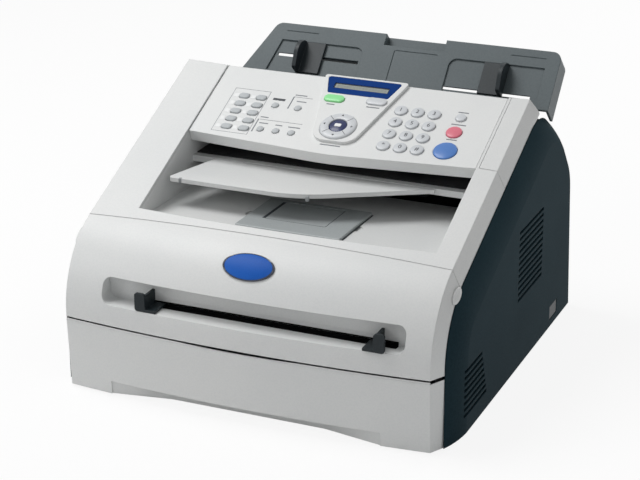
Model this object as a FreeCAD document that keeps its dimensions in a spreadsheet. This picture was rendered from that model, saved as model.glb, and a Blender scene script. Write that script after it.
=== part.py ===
import FreeCAD, Part
import math
import os
import Sketcher
from FreeCAD import Placement, Rotation, Vector

# Driving sizes in millimetres and degrees. Depths are measured back from the front crease,
# heights up from the floor, and sideways places from the middle of the machine.
SIZES = {
    "width": 380, "depth": 364, "front_bow": 9.4, "crease_half": 174, "facet_run": 7.5, "facet_drop": 14,
    "wall": 2.5, "seam": 0.6, "clearance": 0.3, "running_fit": 0.05, "pin_radius": 1.5,
    # side profile of the light front
    "nose_lead": 3, "nose_radius": 84, "nose_base": 75, "slope": 24, "cover_bottom": 71,
    "case_seam": 47, "case_rear": 250, "skirt_bottom": 2.5,
    # dark sides and back
    "side_inner": 177, "side_mid_run": 5.3, "side_mid_drop": 30, "side_full_drop": 50, "rear_lean": 10,
    "knee_depth": 339, "knee_height": 144, "rear_slope": 51.3, "ridge_radius": 50, "knee_radius": 50,
    "hollow_margin": 4,
    # louvres and switch
    "slat_pitch": 6, "slat_open": 3.2, "upper_vent_front": 182, "upper_vent_rear": 254, "upper_vent_base": 70,
    "lower_vent_front": 40, "lower_vent_rear": 98, "lower_vent_base": 19, "lower_vent_step": 2,
    "switch_depth": 298, "switch_height": 17, "switch_length": 22, "switch_tall": 13, "switch_deep": 9,
    "pivot_radius": 0.8,
    # chassis
    "frame_half": 172, "frame_wall": 3, "frame_front": 14, "frame_rear": 336, "deck_height": 64,
    "deck_front": 60, "frame_top_front": 112, "frame_top_rear": 196, "foot_radius": 9, "foot_inset": 22,
    "sill_depth": 8, "sill_height": 74, "lug_at": 42, "lug_width": 6, "lug_radius": 2.7,
    "hinge_depth": -6, "hinge_height": 74,
    # paper tray
    "tray_top": 68, "tray_half": 164, "tray_front": 8, "tray_rear": 316, "tray_rim": 58, "tray_wall": 2,
    "tray_lift": 6.4, "grip_height": 15, "grip_half": 74, "grip_mouth_half": 130, "grip_depth": 6.5,
    "grip_bar": 20, "grip_corner": 20, "rib_near": 40, "rib_far": 110,
    "plate_half": 104, "plate_front": 30, "plate_rear": 200, "plate_thick": 1.2, "plate_rise": 2,
    "paper_half": 108, "tray_guide_front": 206, "tray_guide_length": 80, "tray_guide_tall": 30,
    # manual feed in the front cover
    "feed_left": -136, "feed_right": 151, "feed_base": 90.5, "feed_top": 114, "feed_back": 12,
    "feed_corner": 8, "slot_base": 92, "slot_top": 97.5, "slot_left": -106, "slot_right": 140,
    "guide_left": -90.5, "guide_right": 125, "guide_width": 10, "guide_front": -8.5, "guide_tall": 17,
    "badge_half_wide": 24.4, "badge_half_tall": 13.2, "badge_side": -0.5, "badge_tilt": 41,
    "badge_thick": 2.5, "badge_reach": 40,
    # output bucket
    "bucket_left": -130, "bucket_right": 154.6, "bucket_front": 59.6, "bucket_lip": 148.6, "bucket_rear": 206,
    "bucket_low": 145, "bucket_ramp": 12, "bucket_bed": 126, "flap_left": -42.5, "flap_right": 58.3,
    "flap_front": 78, "flap_rear": 154, "flap_thick": 2.4, "inner_left": -24, "inner_right": 34.5,
    "inner_front": 101, "inner_rear": 146, "finger_depth": 115, "finger_radius": 7, "finger_sunk": 1.4,
    # document exit
    "bar_depth": 168, "bar_height": 169, "bar_tall": 6, "bar_deep": 8, "support_front": 104,
    "support_thick": 4, "support_left": -124, "support_right": 114, "support_straight": 6,
    "support_rear_left": -106,
    # control panel
    "panel_left": -129.4, "panel_right": 154, "panel_depth": 160, "panel_length": 96, "panel_bow": 8,
    "panel_lip": 12, "panel_plate": 2.5, "panel_hinge_v": 6, "panel_hinge_sunk": 8, "panel_pin": 3,
    "pod_rise": 3, "key_travel": 1, "key_rise": 2, "key_root": 3,
    "digit_half": 6.2, "digit_pitch_x": 16.3, "digit_pitch_v": 16.3, "digit_left": 61.6, "digit_base": 13,
    "touch_pitch_x": 17.6, "touch_pitch_v": 11, "touch_left": -95.5, "touch_base": 12, "touch_long": 5.2,
    "touch_short": 3.4, "mat_rise": 1.6, "small_left": -61.6, "small_pitch": 15.7, "small_v": 14,
    "upper_small_left": -60.3, "upper_small_pitch": 23.2, "upper_small_v": 48,
    "pod_left": -27, "pod_waist": -15.5, "pod_waist_v": 50, "pod_right": 58, "pod_foot_left": -7.5,
    "pod_foot_right": 32, "pod_foot_v": 8, "pod_corner": 14,
    "start_at": 119.8, "start_v": 17, "start_half": 11, "stop_v": 42, "stop_half": 7.4, "options_v": 62,
    "options_half": 5, "nav_at": 12.3, "nav_v": 27.6, "nav_radius": 17.5, "nav_bore": 8.4,
    "fax_at": -5.5, "fax_v": 64, "mode_long": 10, "mode_short": 4.6, "copy_at": 36, "copy_v": 66.5,
    "bezel_rise": 0.8, "lcd_left": -13, "lcd_right": 42, "lcd_base": 79.5, "lcd_top": 87, "lcd_thick": 2,
    # document feeder
    "feeder_angle": 46.7, "feeder_depth": 262, "feeder_height": 226, "feeder_left": -129,
    "feeder_right": 187, "feeder_length": 64, "feeder_base": 3.4, "feeder_slant": 27, "feeder_deep": 22,
    "feeder_plate": 3, "feeder_corner": 9, "notch_left": 12, "notch_right": 73, "notch_deep": 12,
    "notch_floor": 8, "pocket_deep": 1.5, "pocket_base": 12, "pocket_top": 46, "pocket_left": -101,
    "pocket_slant": 8, "pocket_mid_left": -7, "pocket_mid_right": 81, "pocket_right": 174,
    "pocket_corner": 8, "rail_base": 28.8, "rail_top": 32.2, "low_rail_base": 13.3, "low_rail_top": 16.7,
    "doc_guide_left": -66, "doc_guide_right": 136, "score_wide": 0.6, "score_deep": 0.5, "score_v": 55.6,
    "score_long": 34, "score_left": -91, "score_right": 139, "lid_left": 24, "lid_right": 68, "lid_top": 47,
    "doc_base_wide": 24, "doc_fin_tall": 22, "doc_fin_base": 12, "doc_fin_thick": 4,
    "pinion_radius": 8, "pinion_thick": 3, "rack_wide": 4, "rack_spare": 8,
    # inside
    "roller_depth": 40, "roller_height": 84, "roller_radius": 13, "roller_half": 30, "shaft_radius": 3,
    "toner_front": 60, "toner_rear": 98, "toner_base": 80, "toner_top": 126, "toner_half": 130,
    "drum_front": 99, "drum_rear": 158, "drum_top": 120, "drum_half": 134,
    "laser_front": 166, "laser_rear": 252, "laser_top": 122,
    "laser_half": 110, "fuser_front": 262, "fuser_rear": 318, "fuser_top": 122, "fuser_half": 128,
    "exit_depth": 222, "exit_height": 152, "exit_radius": 7, "scan_front": 188, "scan_rear": 214,
    "scan_tall": 14, "doc_roller_depth": 221, "doc_roller_height": 197.5, "doc_roller_radius": 8,
    "board_front": 90, "board_rear": 290, "board_base": 80, "board_top": 150, "board_thick": 1.6,
    "board_stand": 4,
    # back
    "door_half": 118, "door_base": 76, "door_top": 126, "door_thick": 2.5, "inlet_at": -132,
    "inlet_wide": 28, "inlet_tall": 22, "inlet_base": 22, "jack_at": 122, "jack_wide": 16, "jack_tall": 14,
    }

doc = FreeCAD.newDocument("fax_machine")
sheet = doc.addObject("Spreadsheet::Sheet", "dims")
for row, (name, number) in enumerate(SIZES.items(), start=1):
    sheet.set("A%d" % row, name)
    sheet.set("B%d" % row, str(number))
    sheet.setAlias("B%d" % row, name)
doc.recompute()


class Size:
    """A length or angle that knows its number and the sheet expression behind it."""

    def __init__(self, number, text):
        self.number = number
        self.text = text

    def __add__(self, other):
        other = sized(other)
        return Size(self.number + other.number, "(%s + %s)" % (self.text, other.text))

    def __sub__(self, other):
        other = sized(other)
        return Size(self.number - other.number, "(%s - %s)" % (self.text, other.text))

    def __mul__(self, other):
        other = sized(other)
        return Size(self.number * other.number, "%s * %s" % (self.text, other.text))

    def __truediv__(self, other):
        other = sized(other)
        return Size(self.number / other.number, "%s / (%s)" % (self.text, other.text))

    def __neg__(self):
        return Size(-self.number, "(-1 * %s)" % self.text)

    def __radd__(self, other):
        return sized(other) + self

    def __rsub__(self, other):
        return sized(other) - self

    def __rmul__(self, other):
        return sized(other) * self


def sized(value):
    """A plain number becomes a Size; a Size stays as it is."""
    return value if isinstance(value, Size) else Size(float(value), "(%s)" % repr(float(value)))


def turned(function, angle):
    """Sine, cosine or tangent of an angle in degrees."""
    number = getattr(math, function)(math.radians(angle.number))
    return Size(number, "%s(%s * 1deg)" % (function, angle.text))


class Sizes:
    """Every sheet cell by its name."""


d = Sizes()
for name in SIZES:
    setattr(d, name, Size(float(sheet.get(name)), "dims." + name))

# Values worked out from the driving sizes
crease = d.nose_lead + d.front_bow - d.depth / 2
rear = d.depth / 2
half_width = d.width / 2
facet_edge = d.crease_half + d.facet_run
sine, cosine, tangent = (turned(name, d.slope) for name in ("sin", "cos", "tan"))
rear_tangent = turned("tan", d.rear_slope)
corner_rise = (1 - sine) / cosine
nose_corner = d.nose_base + d.nose_radius * corner_rise


def back(depth):
    """Place along Y of a depth measured from the front crease."""
    return crease + depth


def slope_height(depth, drop=0):
    """Height of the sloped top at a depth, sunk by drop along its normal."""
    return nose_corner + tangent * (sized(depth) + d.nose_lead) - sized(drop) / cosine


def bowed(side):
    """Forward bow of the front at a place sideways."""
    ratio = sized(side) / d.crease_half
    return d.front_bow * (1 - ratio * ratio)


def rect(left, right, low, high, radius=None):
    """Four corners, round where a radius is given."""
    corners = [(left, low), (right, low), (right, high), (left, high)]
    return [corner if radius is None else corner + (radius,) for corner in corners]


def disc(u, v, radius):
    """A round outline."""
    return ("disc", u, v, radius)


PIECES = []


class Piece:
    """One physical piece: a body with its own label, place and tilt about X."""

    def __init__(self, label, y=None, z=None, tilt=None):
        self.body = doc.addObject("PartDesign::Body", label)
        self.body.Label = label
        self.body.AllowCompound = True
        self.count = 0
        angle = tilt.number if tilt else 0
        spot = Vector(0, y.number if y else 0, z.number if z else 0)
        self.body.Placement = Placement(spot, Rotation(Vector(1, 0, 0), angle))
        for path, size in (("Base.y", y), ("Base.z", z), ("Rotation.Angle", tilt)):
            if size:
                self.body.setExpression("Placement." + path, size.text)
        PIECES.append(self)

    def sketch(self, plane, offset, outlines):
        self.count += 1
        sketch = self.body.newObject("Sketcher::SketchObject", "%s_sketch%d" % (self.body.Name, self.count))
        role = plane + "_Plane"
        support = next(o for o in self.body.Origin.OriginFeatures if o.Role == role)
        sketch.AttachmentSupport = [(support, "")]
        sketch.MapMode = "FlatFace"
        offset = sized(offset)
        sketch.AttachmentOffset = Placement(Vector(0, 0, offset.number), Rotation())
        sketch.setExpression("AttachmentOffset.Base.z", offset.text)
        drawing = Drawing()
        for outline in outlines:
            if outline[0] == "disc":
                drawing.disc(*outline[1:])
            elif outline[0] == "arc":
                drawing.front_arc(*outline[1:])
            else:
                drawing.outline(outline)
        drawing.put_in(sketch)
        sketch.Visibility = False
        return sketch

    def feature(self, kind, plane, start, stop, outlines):
        start, stop = sized(start), sized(stop)
        sketch = self.sketch(plane, -stop if plane == "XZ" else start, outlines)
        feature = self.body.newObject("PartDesign::" + kind, "%s_%s%d" % (self.body.Name, kind, self.count))
        feature.Profile = sketch
        feature.Length = abs(stop.number - start.number)
        feature.setExpression("Length", (stop - start).text)
        return feature

    def pad(self, plane, start, stop, *outlines):
        self.feature("Pad", plane, start, stop, outlines)
        return self

    def cut(self, plane, start, stop, *outlines):
        self.feature("Pocket", plane, start, stop, outlines).Reversed = True
        return self

    def sweep(self, kind, section, start, end):
        """Carries a YZ section along the bowed front from one side place to another."""
        profile = self.sketch("YZ", start, [section])
        spine = self.sketch("XY", 0, [("arc", start, end)])
        pipe = self.body.newObject("PartDesign::" + kind, "%s_pipe%d" % (self.body.Name, self.count))
        pipe.Profile = profile
        pipe.Spine = (spine, ["Edge1"])
        pipe.Mode = "Fixed"
        return self

    def loft(self, places, ruled=True):
        """Joins YZ outlines, each with its own place sideways."""
        sketches = [self.sketch("YZ", side, [outline]) for side, outline in places]
        loft = self.body.newObject("PartDesign::AdditiveLoft", "%s_loft%d" % (self.body.Name, self.count))
        loft.Profile = sketches[0]
        loft.Sections = sketches[1:]
        loft.Ruled = ruled
        return self


class Drawing:
    """Lines and arcs of one sketch, each point and radius held by a sheet expression."""

    def __init__(self):
        self.shapes = []
        self.rules = []
        self.bound = []

    def put_in(self, sketch):
        for shape, helper in self.shapes:
            sketch.addGeometry(shape, helper)
        sketch.addConstraint(self.rules)
        for number, size in self.bound:
            sketch.setExpression("Constraints[%d]" % number, size.text)

    def add(self, shape, helper=False):
        self.shapes.append((shape, helper))
        return len(self.shapes) - 1

    def rule(self, *words):
        self.rules.append(Sketcher.Constraint(*words))

    def bind(self, size, *words):
        self.bound.append((len(self.rules), size))
        self.rule(*words, size.number)

    def hold(self, index, position, u, v):
        self.bind(sized(u), "DistanceX", -1, 1, index, position)
        self.bind(sized(v), "DistanceY", -1, 1, index, position)

    def arc(self, centre, radius, first, last):
        """Arc between two points the short way round; tells which end the first point is."""
        angles = [math.atan2(point.y - centre.y, point.x - centre.x) for point in (first, last)]
        forward = (angles[1] - angles[0]) % (2 * math.pi) < math.pi
        start, end = angles if forward else reversed(angles)
        circle = Part.Circle(centre, Vector(0, 0, 1), radius.number)
        index = self.add(Part.ArcOfCircle(circle, start, end))
        self.bind(radius, "Radius", index)
        return (index, 1, 2) if forward else (index, 2, 1)

    def disc(self, u, v, radius):
        u, v, radius = sized(u), sized(v), sized(radius)
        index = self.add(Part.Circle(Vector(u.number, v.number, 0), Vector(0, 0, 1), radius.number))
        self.hold(index, 3, u, v)
        self.bind(radius, "Radius", index)

    def front_arc(self, start, end):
        """Plan arc of the bowed front between two side places."""
        radius = (d.crease_half * d.crease_half / d.front_bow + d.front_bow) / 2
        ends = [(sized(side), back(0) - bowed(side)) for side in (start, end)]
        centre = Vector(0, (back(-d.front_bow) + radius).number, 0)
        points = [Vector(u.number, v.number, 0) for u, v in ends]
        index, first, last = self.arc(centre, radius, *points)
        self.hold(index, first, *ends[0])
        self.hold(index, last, *ends[1])

    def outline(self, corners):
        """Closed outline of straight sides, with a tangent arc at each corner that has a radius."""
        corners = [tuple(sized(value) for value in corner) for corner in corners]
        spots = [Vector(corner[0].number, corner[1].number, 0) for corner in corners]
        count = len(corners)
        leave, reach, middles = list(spots), list(spots), {}
        for i, corner in enumerate(corners):
            if len(corner) < 3:
                continue
            to_last = (spots[i - 1] - spots[i]).normalize()
            to_next = (spots[(i + 1) % count] - spots[i]).normalize()
            half = to_last.getAngle(to_next) / 2
            run = corner[2].number / math.tan(half)
            reach[i] = spots[i] + to_last * run
            leave[i] = spots[i] + to_next * run
            middles[i] = spots[i] + (to_last + to_next).normalize() * (corner[2].number / math.sin(half))
        lines = [self.add(Part.LineSegment(leave[i], reach[(i + 1) % count])) for i in range(count)]
        for i, corner in enumerate(corners):
            before, after = lines[i - 1], lines[i]
            if i not in middles:
                self.rule("Coincident", before, 2, after, 1)
                self.hold(after, 1, corner[0], corner[1])
                continue
            arc, first, last = self.arc(middles[i], corner[2], reach[i], leave[i])
            apex = self.add(Part.Point(spots[i]), True)
            self.hold(apex, 1, corner[0], corner[1])
            self.rule("PointOnObject", apex, 1, before)
            self.rule("PointOnObject", apex, 1, after)
            self.rule("Tangent", before, 2, arc, first)
            self.rule("Tangent", arc, last, after, 1)


# Light shells share one side profile: an upright nose that rolls over into the slope

def nose_band(base, end, drop=0, thick=d.wall):
    """Closed section of the shell from a base height up to an end depth, sunk by drop."""
    deep = sized(drop) + thick
    outer, inner = back(drop - d.nose_lead), back(deep - d.nose_lead)
    shift = sine * drop
    return [
        (outer, base),
        (outer, nose_corner - corner_rise * drop, d.nose_radius - drop),
        (back(end) + shift, slope_height(end) - cosine * drop),
        (back(end) + shift + sine * thick, slope_height(end) - cosine * deep),
        (inner, nose_corner - corner_rise * deep, d.nose_radius - deep),
        (inner, base),
    ]


def facets(piece, section):
    """Both slanted ends of a light shell, from the crease out to the dark sides."""
    for edge, end in ((d.crease_half, facet_edge), (-d.crease_half, -facet_edge)):
        piece.loft([(edge, section(sized(0))), (end, section(d.facet_drop))])


def everything(low, high):
    """Rectangle across the whole width between two heights."""
    return rect(-d.width, d.width, low, high)


panel_height = slope_height(d.panel_depth)
panel_axis_y = back(d.panel_depth) + d.panel_hinge_v * cosine + d.panel_hinge_sunk * sine
panel_axis_z = panel_height + d.panel_hinge_v * sine - d.panel_hinge_sunk * cosine


def make_front_cover():
    cover = Piece("front_cover")
    shell_end = d.case_seam + d.front_bow + d.facet_drop

    def section(drop):
        return nose_band(d.cover_bottom, shell_end, drop)

    cover.sweep("AdditivePipe", section(sized(0)), -d.crease_half, d.crease_half)
    facets(cover, section)
    well = (d.feed_left - d.wall, d.feed_right + d.wall, d.feed_base - d.wall, d.feed_top + d.wall)
    cover.pad("XZ", back(-d.nose_lead - d.front_bow), back(d.feed_back + d.wall), rect(*well, d.feed_corner))
    top = slope_height(shell_end) + d.depth
    outside = [
        (back(-d.nose_lead), d.cover_bottom - d.wall),
        (back(-d.nose_lead), nose_corner, d.nose_radius),
        (back(shell_end), slope_height(shell_end)),
        (back(shell_end), top),
        (back(-d.depth), top),
        (back(-d.depth), d.cover_bottom - d.wall),
    ]
    cover.sweep("SubtractivePipe", outside, -d.crease_half, d.crease_half)
    mouth = rect(d.feed_left, d.feed_right, d.feed_base, d.feed_top, d.feed_corner)
    cover.cut("XZ", back(-d.nose_radius), back(d.feed_back), mouth)
    slot = rect(d.slot_left, d.slot_right, d.slot_base, d.slot_top)
    cover.cut("XZ", back(d.feed_back) - d.wall, back(d.feed_back) + 2 * d.wall, slot)
    cover.cut("XZ", back(d.case_seam) - d.seam / 2, back(d.depth), everything(0, d.depth))
    for side in (-1, 1):
        inner, outer = d.lug_at - d.lug_width * 1.5, d.lug_at + d.lug_width / 2
        ear_end = d.lug_at - d.lug_width / 2 - d.clearance
        pin_span = (inner, outer) if side > 0 else (-outer, -inner)
        ear_span = (inner, ear_end) if side > 0 else (-ear_end, -inner)
        cover.pad("YZ", *pin_span, disc(back(d.hinge_depth), d.hinge_height, d.pin_radius))
        ear = rect(back(-d.nose_lead) - bowed(d.lug_at) + d.wall / 2, back(d.hinge_depth) + d.pin_radius,
                   d.hinge_height - d.pin_radius, d.hinge_height + d.pin_radius)
        cover.pad("YZ", *ear_span, ear)
    return cover


def make_badge():
    badge = Piece("badge")
    oval = badge.body.newObject("PartDesign::AdditiveEllipsoid", "badge_oval")
    lean = d.badge_tilt
    centre = (
        d.badge_side,
        back(d.nose_radius - d.nose_lead) - d.nose_radius * turned("sin", lean) - bowed(d.badge_side),
        d.nose_base + d.nose_radius * turned("cos", lean),
    )
    half_axes = (d.badge_reach, d.badge_half_wide, d.badge_half_tall)
    for name, size in zip(("Radius1", "Radius2", "Radius3"), half_axes):
        oval.setExpression(name, size.text)
    spot = Vector(*(size.number for size in centre))
    oval.Placement = Placement(spot, Rotation(Vector(1, 0, 0), lean.number))
    for path, size in zip(("Base.x", "Base.y", "Base.z", "Rotation.Angle"), centre + (lean,)):
        oval.setExpression("Placement." + path, size.text)

    def skin(drop):
        return nose_band(d.cover_bottom, d.case_seam + d.front_bow, drop, d.badge_thick)

    keep = skin(-d.badge_thick - d.running_fit)
    far = keep[3][0] + d.depth
    inside = [keep[5], keep[4], keep[3], (far, keep[3][1]), (far, keep[5][1])]
    outside = [keep[0], keep[1], keep[2], (keep[2][0], keep[2][1] + d.depth),
               (keep[0][0] - d.depth, keep[2][1] + d.depth), (keep[0][0] - d.depth, keep[0][1])]
    for region in (inside, outside):
        badge.sweep("SubtractivePipe", region, -d.crease_half, d.crease_half)
    return badge


floor_drop = d.bucket_lip - d.bucket_low
floor_run = d.bucket_rear - d.bucket_front - d.bucket_ramp + d.front_bow


def floor_height(depth):
    """Top of the sloping bucket floor at a depth."""
    return d.bucket_lip - floor_drop * (depth - d.bucket_rear + floor_run) / floor_run


def make_upper_case():
    case = Piece("upper_case")
    base = d.cover_bottom

    def section(drop):
        return nose_band(base, d.case_rear, drop)

    case.sweep("AdditivePipe", section(sized(0)), -d.crease_half, d.crease_half)
    facets(case, section)
    case.cut("XZ", back(-d.depth), back(d.case_seam) + d.seam / 2, everything(0, d.depth))
    front = d.bucket_front
    well = [
        (back(front), d.bucket_bed),
        (back(d.depth), d.bucket_bed),
        (back(d.depth), d.depth),
        (back(front), d.depth),
    ]
    case.sweep("SubtractivePipe", well, d.bucket_left, d.bucket_right)
    cap_left = d.bucket_right + d.wall
    case.cut("XY", d.bucket_bed, d.depth, rect(cap_left, d.width, back(d.panel_depth), back(d.depth)))
    for inner in (d.bucket_left - d.wall, d.bucket_right):
        wall_front = front - 2 * d.wall
        side_wall = [
            (back(wall_front), d.bucket_lip - d.wall),
            (back(d.bucket_rear), d.bucket_low - d.wall),
            (back(d.case_rear), d.bucket_low - d.wall),
            (back(d.case_rear), slope_height(d.case_rear, d.wall / 2)),
            (back(wall_front), slope_height(wall_front, d.wall / 2)),
        ]
        case.pad("YZ", inner, inner + d.wall, side_wall)
    ramp_end = front + d.bucket_ramp
    ramp = [
        (back(front) - d.wall, slope_height(front - d.wall, d.wall)),
        (back(front) - d.wall, slope_height(front - d.wall, d.wall / 2)),
        (back(front), slope_height(front)),
        (back(ramp_end), d.bucket_lip),
        (back(ramp_end), d.bucket_lip - d.wall),
    ]
    case.sweep("AdditivePipe", ramp, d.bucket_left - d.wall / 2, d.bucket_right + d.wall / 2)
    floor = [
        (back(ramp_end - d.front_bow), d.bucket_lip - d.wall),
        (back(d.bucket_rear), d.bucket_low - d.wall),
        (back(d.bucket_rear), d.bucket_low),
        (back(ramp_end - d.front_bow), d.bucket_lip),
    ]
    case.pad("YZ", d.bucket_left - d.wall, d.bucket_right + d.wall, floor)
    dips = [disc(side, back(d.finger_depth), d.finger_radius) for side in (d.flap_left, d.flap_right)]
    case.cut("XY", floor_height(d.finger_depth) - d.finger_sunk, d.bucket_lip + d.wall, *dips)
    lid = slope_height(d.case_rear, d.wall / 2)
    left_end = rect(-d.crease_half, d.bucket_left, lid - d.facet_drop, lid)
    case.pad("XZ", back(d.case_rear) - d.wall, back(d.case_rear), left_end)
    bar = rect(back(d.bar_depth), back(d.bar_depth) + d.bar_deep, d.bar_height, d.bar_height + d.bar_tall)
    case.pad("YZ", d.bucket_left - d.wall, d.bucket_right + d.wall, bar)
    for inner in (d.bucket_left - d.wall, d.bucket_right):
        shaft = d.shaft_radius + d.running_fit
        case.cut("YZ", inner, inner + d.wall, disc(back(d.exit_depth), d.exit_height, shaft),
                 disc(back(d.doc_roller_depth), d.doc_roller_height, shaft))
        hole = disc(panel_axis_y, panel_axis_z, d.panel_pin + d.running_fit)
        case.cut("YZ", inner, inner + d.wall, hole)
    return case


def make_right_arm_cap():
    cap = Piece("right_arm_cap")
    base = d.cover_bottom
    cap.sweep("AdditivePipe", nose_band(base, d.case_rear), -d.crease_half, d.crease_half)
    cap.loft([(d.crease_half, nose_band(base, d.case_rear)),
              (facet_edge, nose_band(base, d.case_rear, d.facet_drop))])
    start = d.bucket_right + d.wall + d.clearance
    cap.cut("YZ", -d.width, start, rect(-d.depth, d.depth, 0, d.depth))
    cap.cut("XZ", back(-d.depth), back(d.panel_depth) + d.seam, everything(0, d.depth))
    lid = slope_height(d.case_rear, d.wall / 2)
    rear_edge = rect(start, facet_edge - d.facet_run, lid - d.facet_drop, lid)
    cap.pad("XZ", back(d.case_rear) - d.wall, back(d.case_rear), rear_edge)
    return cap


def make_paper_tray():
    tray = Piece("paper_tray")

    def section(drop):
        lead = d.nose_lead
        return [
            (back(drop), d.skirt_bottom),
            (back(drop - lead), d.tray_top),
            (back(drop), d.tray_top - d.wall),
            (back(drop + d.wall), d.tray_top - 2 * d.wall),
            (back(drop + d.wall), d.skirt_bottom),
        ]

    tray.sweep("AdditivePipe", section(sized(0)), -d.crease_half, d.crease_half)
    facets(tray, section)
    lip = rect(back(0), back(d.tray_front + d.front_bow), d.skirt_bottom, d.grip_bar)
    tray.sweep("AdditivePipe", lip, -d.tray_half, d.tray_half)
    grip = [
        (-d.grip_mouth_half, back(-d.depth)),
        (-d.grip_mouth_half, back(-d.nose_lead)),
        (-d.grip_half, back(d.grip_depth), d.grip_corner),
        (d.grip_half, back(d.grip_depth), d.grip_corner),
        (d.grip_mouth_half, back(-d.nose_lead)),
        (d.grip_mouth_half, back(-d.depth)),
    ]
    tray.cut("XY", 0, d.grip_height, grip)
    shell = rect(-d.tray_half, d.tray_half, back(d.tray_front), back(d.tray_rear))
    tray.pad("XY", d.tray_lift, d.tray_rim, shell)
    hollow = rect(d.tray_wall - d.tray_half, d.tray_half - d.tray_wall, back(d.tray_front) + d.tray_wall,
                  back(d.tray_rear) - d.tray_wall)
    tray.cut("XY", d.tray_lift + d.tray_wall, d.tray_rim + d.wall, hollow)
    for side in (-d.rib_far, -d.rib_near, d.rib_near, d.rib_far):
        rib = rect(back(0) - bowed(side) + d.wall / 2, back(d.tray_front) + d.tray_wall / 2, d.grip_height,
                   d.tray_rim)
        tray.pad("YZ", side - d.tray_wall / 2, side + d.tray_wall / 2, rib)
    return tray


tray_floor = d.tray_lift + d.tray_wall


def make_lift_plate():
    plate = Piece("lift_plate")
    low = tray_floor + d.plate_rise
    plate.pad("XY", low, low + d.plate_thick, rect(-d.plate_half, d.plate_half, back(d.plate_front),
                                                   back(d.plate_rear), d.plate_rise))
    hinge = disc(back(d.plate_rear) - d.plate_rise, low, d.plate_rise - d.running_fit)
    plate.pad("YZ", -d.plate_half, d.plate_half, hinge)
    return plate


def make_tray_guides():
    for label, side in (("tray_guide_left", -1), ("tray_guide_right", 1)):
        guide = Piece(label)
        inner = side * d.paper_half
        low = tray_floor + d.clearance
        start = inner if side > 0 else inner - d.tray_wall
        ends = (back(d.tray_guide_front), back(d.tray_guide_front + d.tray_guide_length))
        guide.pad("YZ", start, start + d.tray_wall, rect(*ends, low, low + d.tray_guide_tall))
        foot = inner if side > 0 else inner - d.tray_guide_tall
        guide.pad("XY", low, low + d.tray_wall, rect(foot, foot + d.tray_guide_tall, *ends))


def make_feed_guides():
    for label, side, inner in (("feed_guide_left", -1, d.guide_left), ("feed_guide_right", 1, d.guide_right)):
        guide = Piece(label)
        low = d.feed_base + d.clearance
        start = inner if side > 0 else inner - d.guide_width
        front = back(d.guide_front)
        fence = rect(start, start + d.guide_width, low, low + d.guide_tall, d.wall)
        guide.pad("XZ", front, front + d.wall, fence)
        plate = inner if side > 0 else inner - d.wall
        fin = rect(front, back(d.feed_back) - d.clearance, low, low + d.guide_tall - d.wall)
        guide.pad("YZ", plate, plate + d.wall, fin)
        foot = inner - d.guide_width if side > 0 else inner - d.wall
        guide.pad("XY", low, low + d.wall, rect(foot, foot + d.guide_width + d.wall, front,
                                                back(d.feed_back) - d.clearance))


def floor_strip(front, end, low, high):
    """Section lying on the bucket floor between two depths."""
    return [
        (back(front), floor_height(front) + low),
        (back(end), floor_height(end) + low),
        (back(end), floor_height(end) + high),
        (back(front), floor_height(front) + high),
    ]


def flap_rod(depth):
    """Round hinge edge of a flap that lies on the bucket floor."""
    return disc(back(depth), floor_height(depth) + d.clearance + d.flap_thick / 2, d.flap_thick / 2)


def make_flaps():
    flap = Piece("output_flap")
    low = d.clearance
    high = low + d.flap_thick
    flap.pad("YZ", d.flap_left, d.flap_right, floor_strip(d.flap_front, d.flap_rear, low, high))
    window = (d.inner_left - d.clearance, d.inner_right + d.clearance)
    opening = rect(*window, back(d.inner_front) - d.clearance, back(d.inner_rear) + d.flap_thick)
    flap.cut("XY", 0, d.depth, opening)
    flap.pad("YZ", d.flap_left, d.flap_right, flap_rod(d.flap_front))
    extension = Piece("flap_extension")
    extension.pad("YZ", d.inner_left, d.inner_right, floor_strip(d.inner_front, d.inner_rear, low, high))
    extension.pad("YZ", d.inner_left, d.inner_right, flap_rod(d.inner_rear))


def make_document_support():
    support = Piece("document_support")
    low = d.bar_height + d.bar_tall - d.support_thick
    hinge = d.bar_depth - d.clearance - d.support_thick / 2
    plan = [
        (d.support_rear_left, back(hinge)),
        (d.support_left, back(d.support_front), d.support_thick),
        (d.support_straight, back(d.support_front), d.support_right - d.support_straight),
        (d.support_right, back(hinge)),
    ]
    support.pad("XY", low, low + d.support_thick, plan)
    edge = disc(back(hinge), low + d.support_thick / 2, d.support_thick / 2)
    support.pad("YZ", d.support_rear_left, d.support_right, edge)


def side_outline(drop, inset=0):
    """Closed side view of the machine, its front and slope sunk by drop and its back by inset."""
    front = back(drop - d.nose_lead)
    knee, knee_height = d.knee_depth - inset, d.knee_height - inset
    ridge = (knee_height + rear_tangent * knee - slope_height(0, drop)) / (tangent + rear_tangent)
    return [
        (front, d.skirt_bottom),
        (front, nose_corner - corner_rise * drop, d.nose_radius - drop),
        (back(ridge), slope_height(ridge, drop), d.ridge_radius),
        (back(knee), knee_height, d.knee_radius),
        (rear - inset, d.skirt_bottom),
    ]


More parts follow.
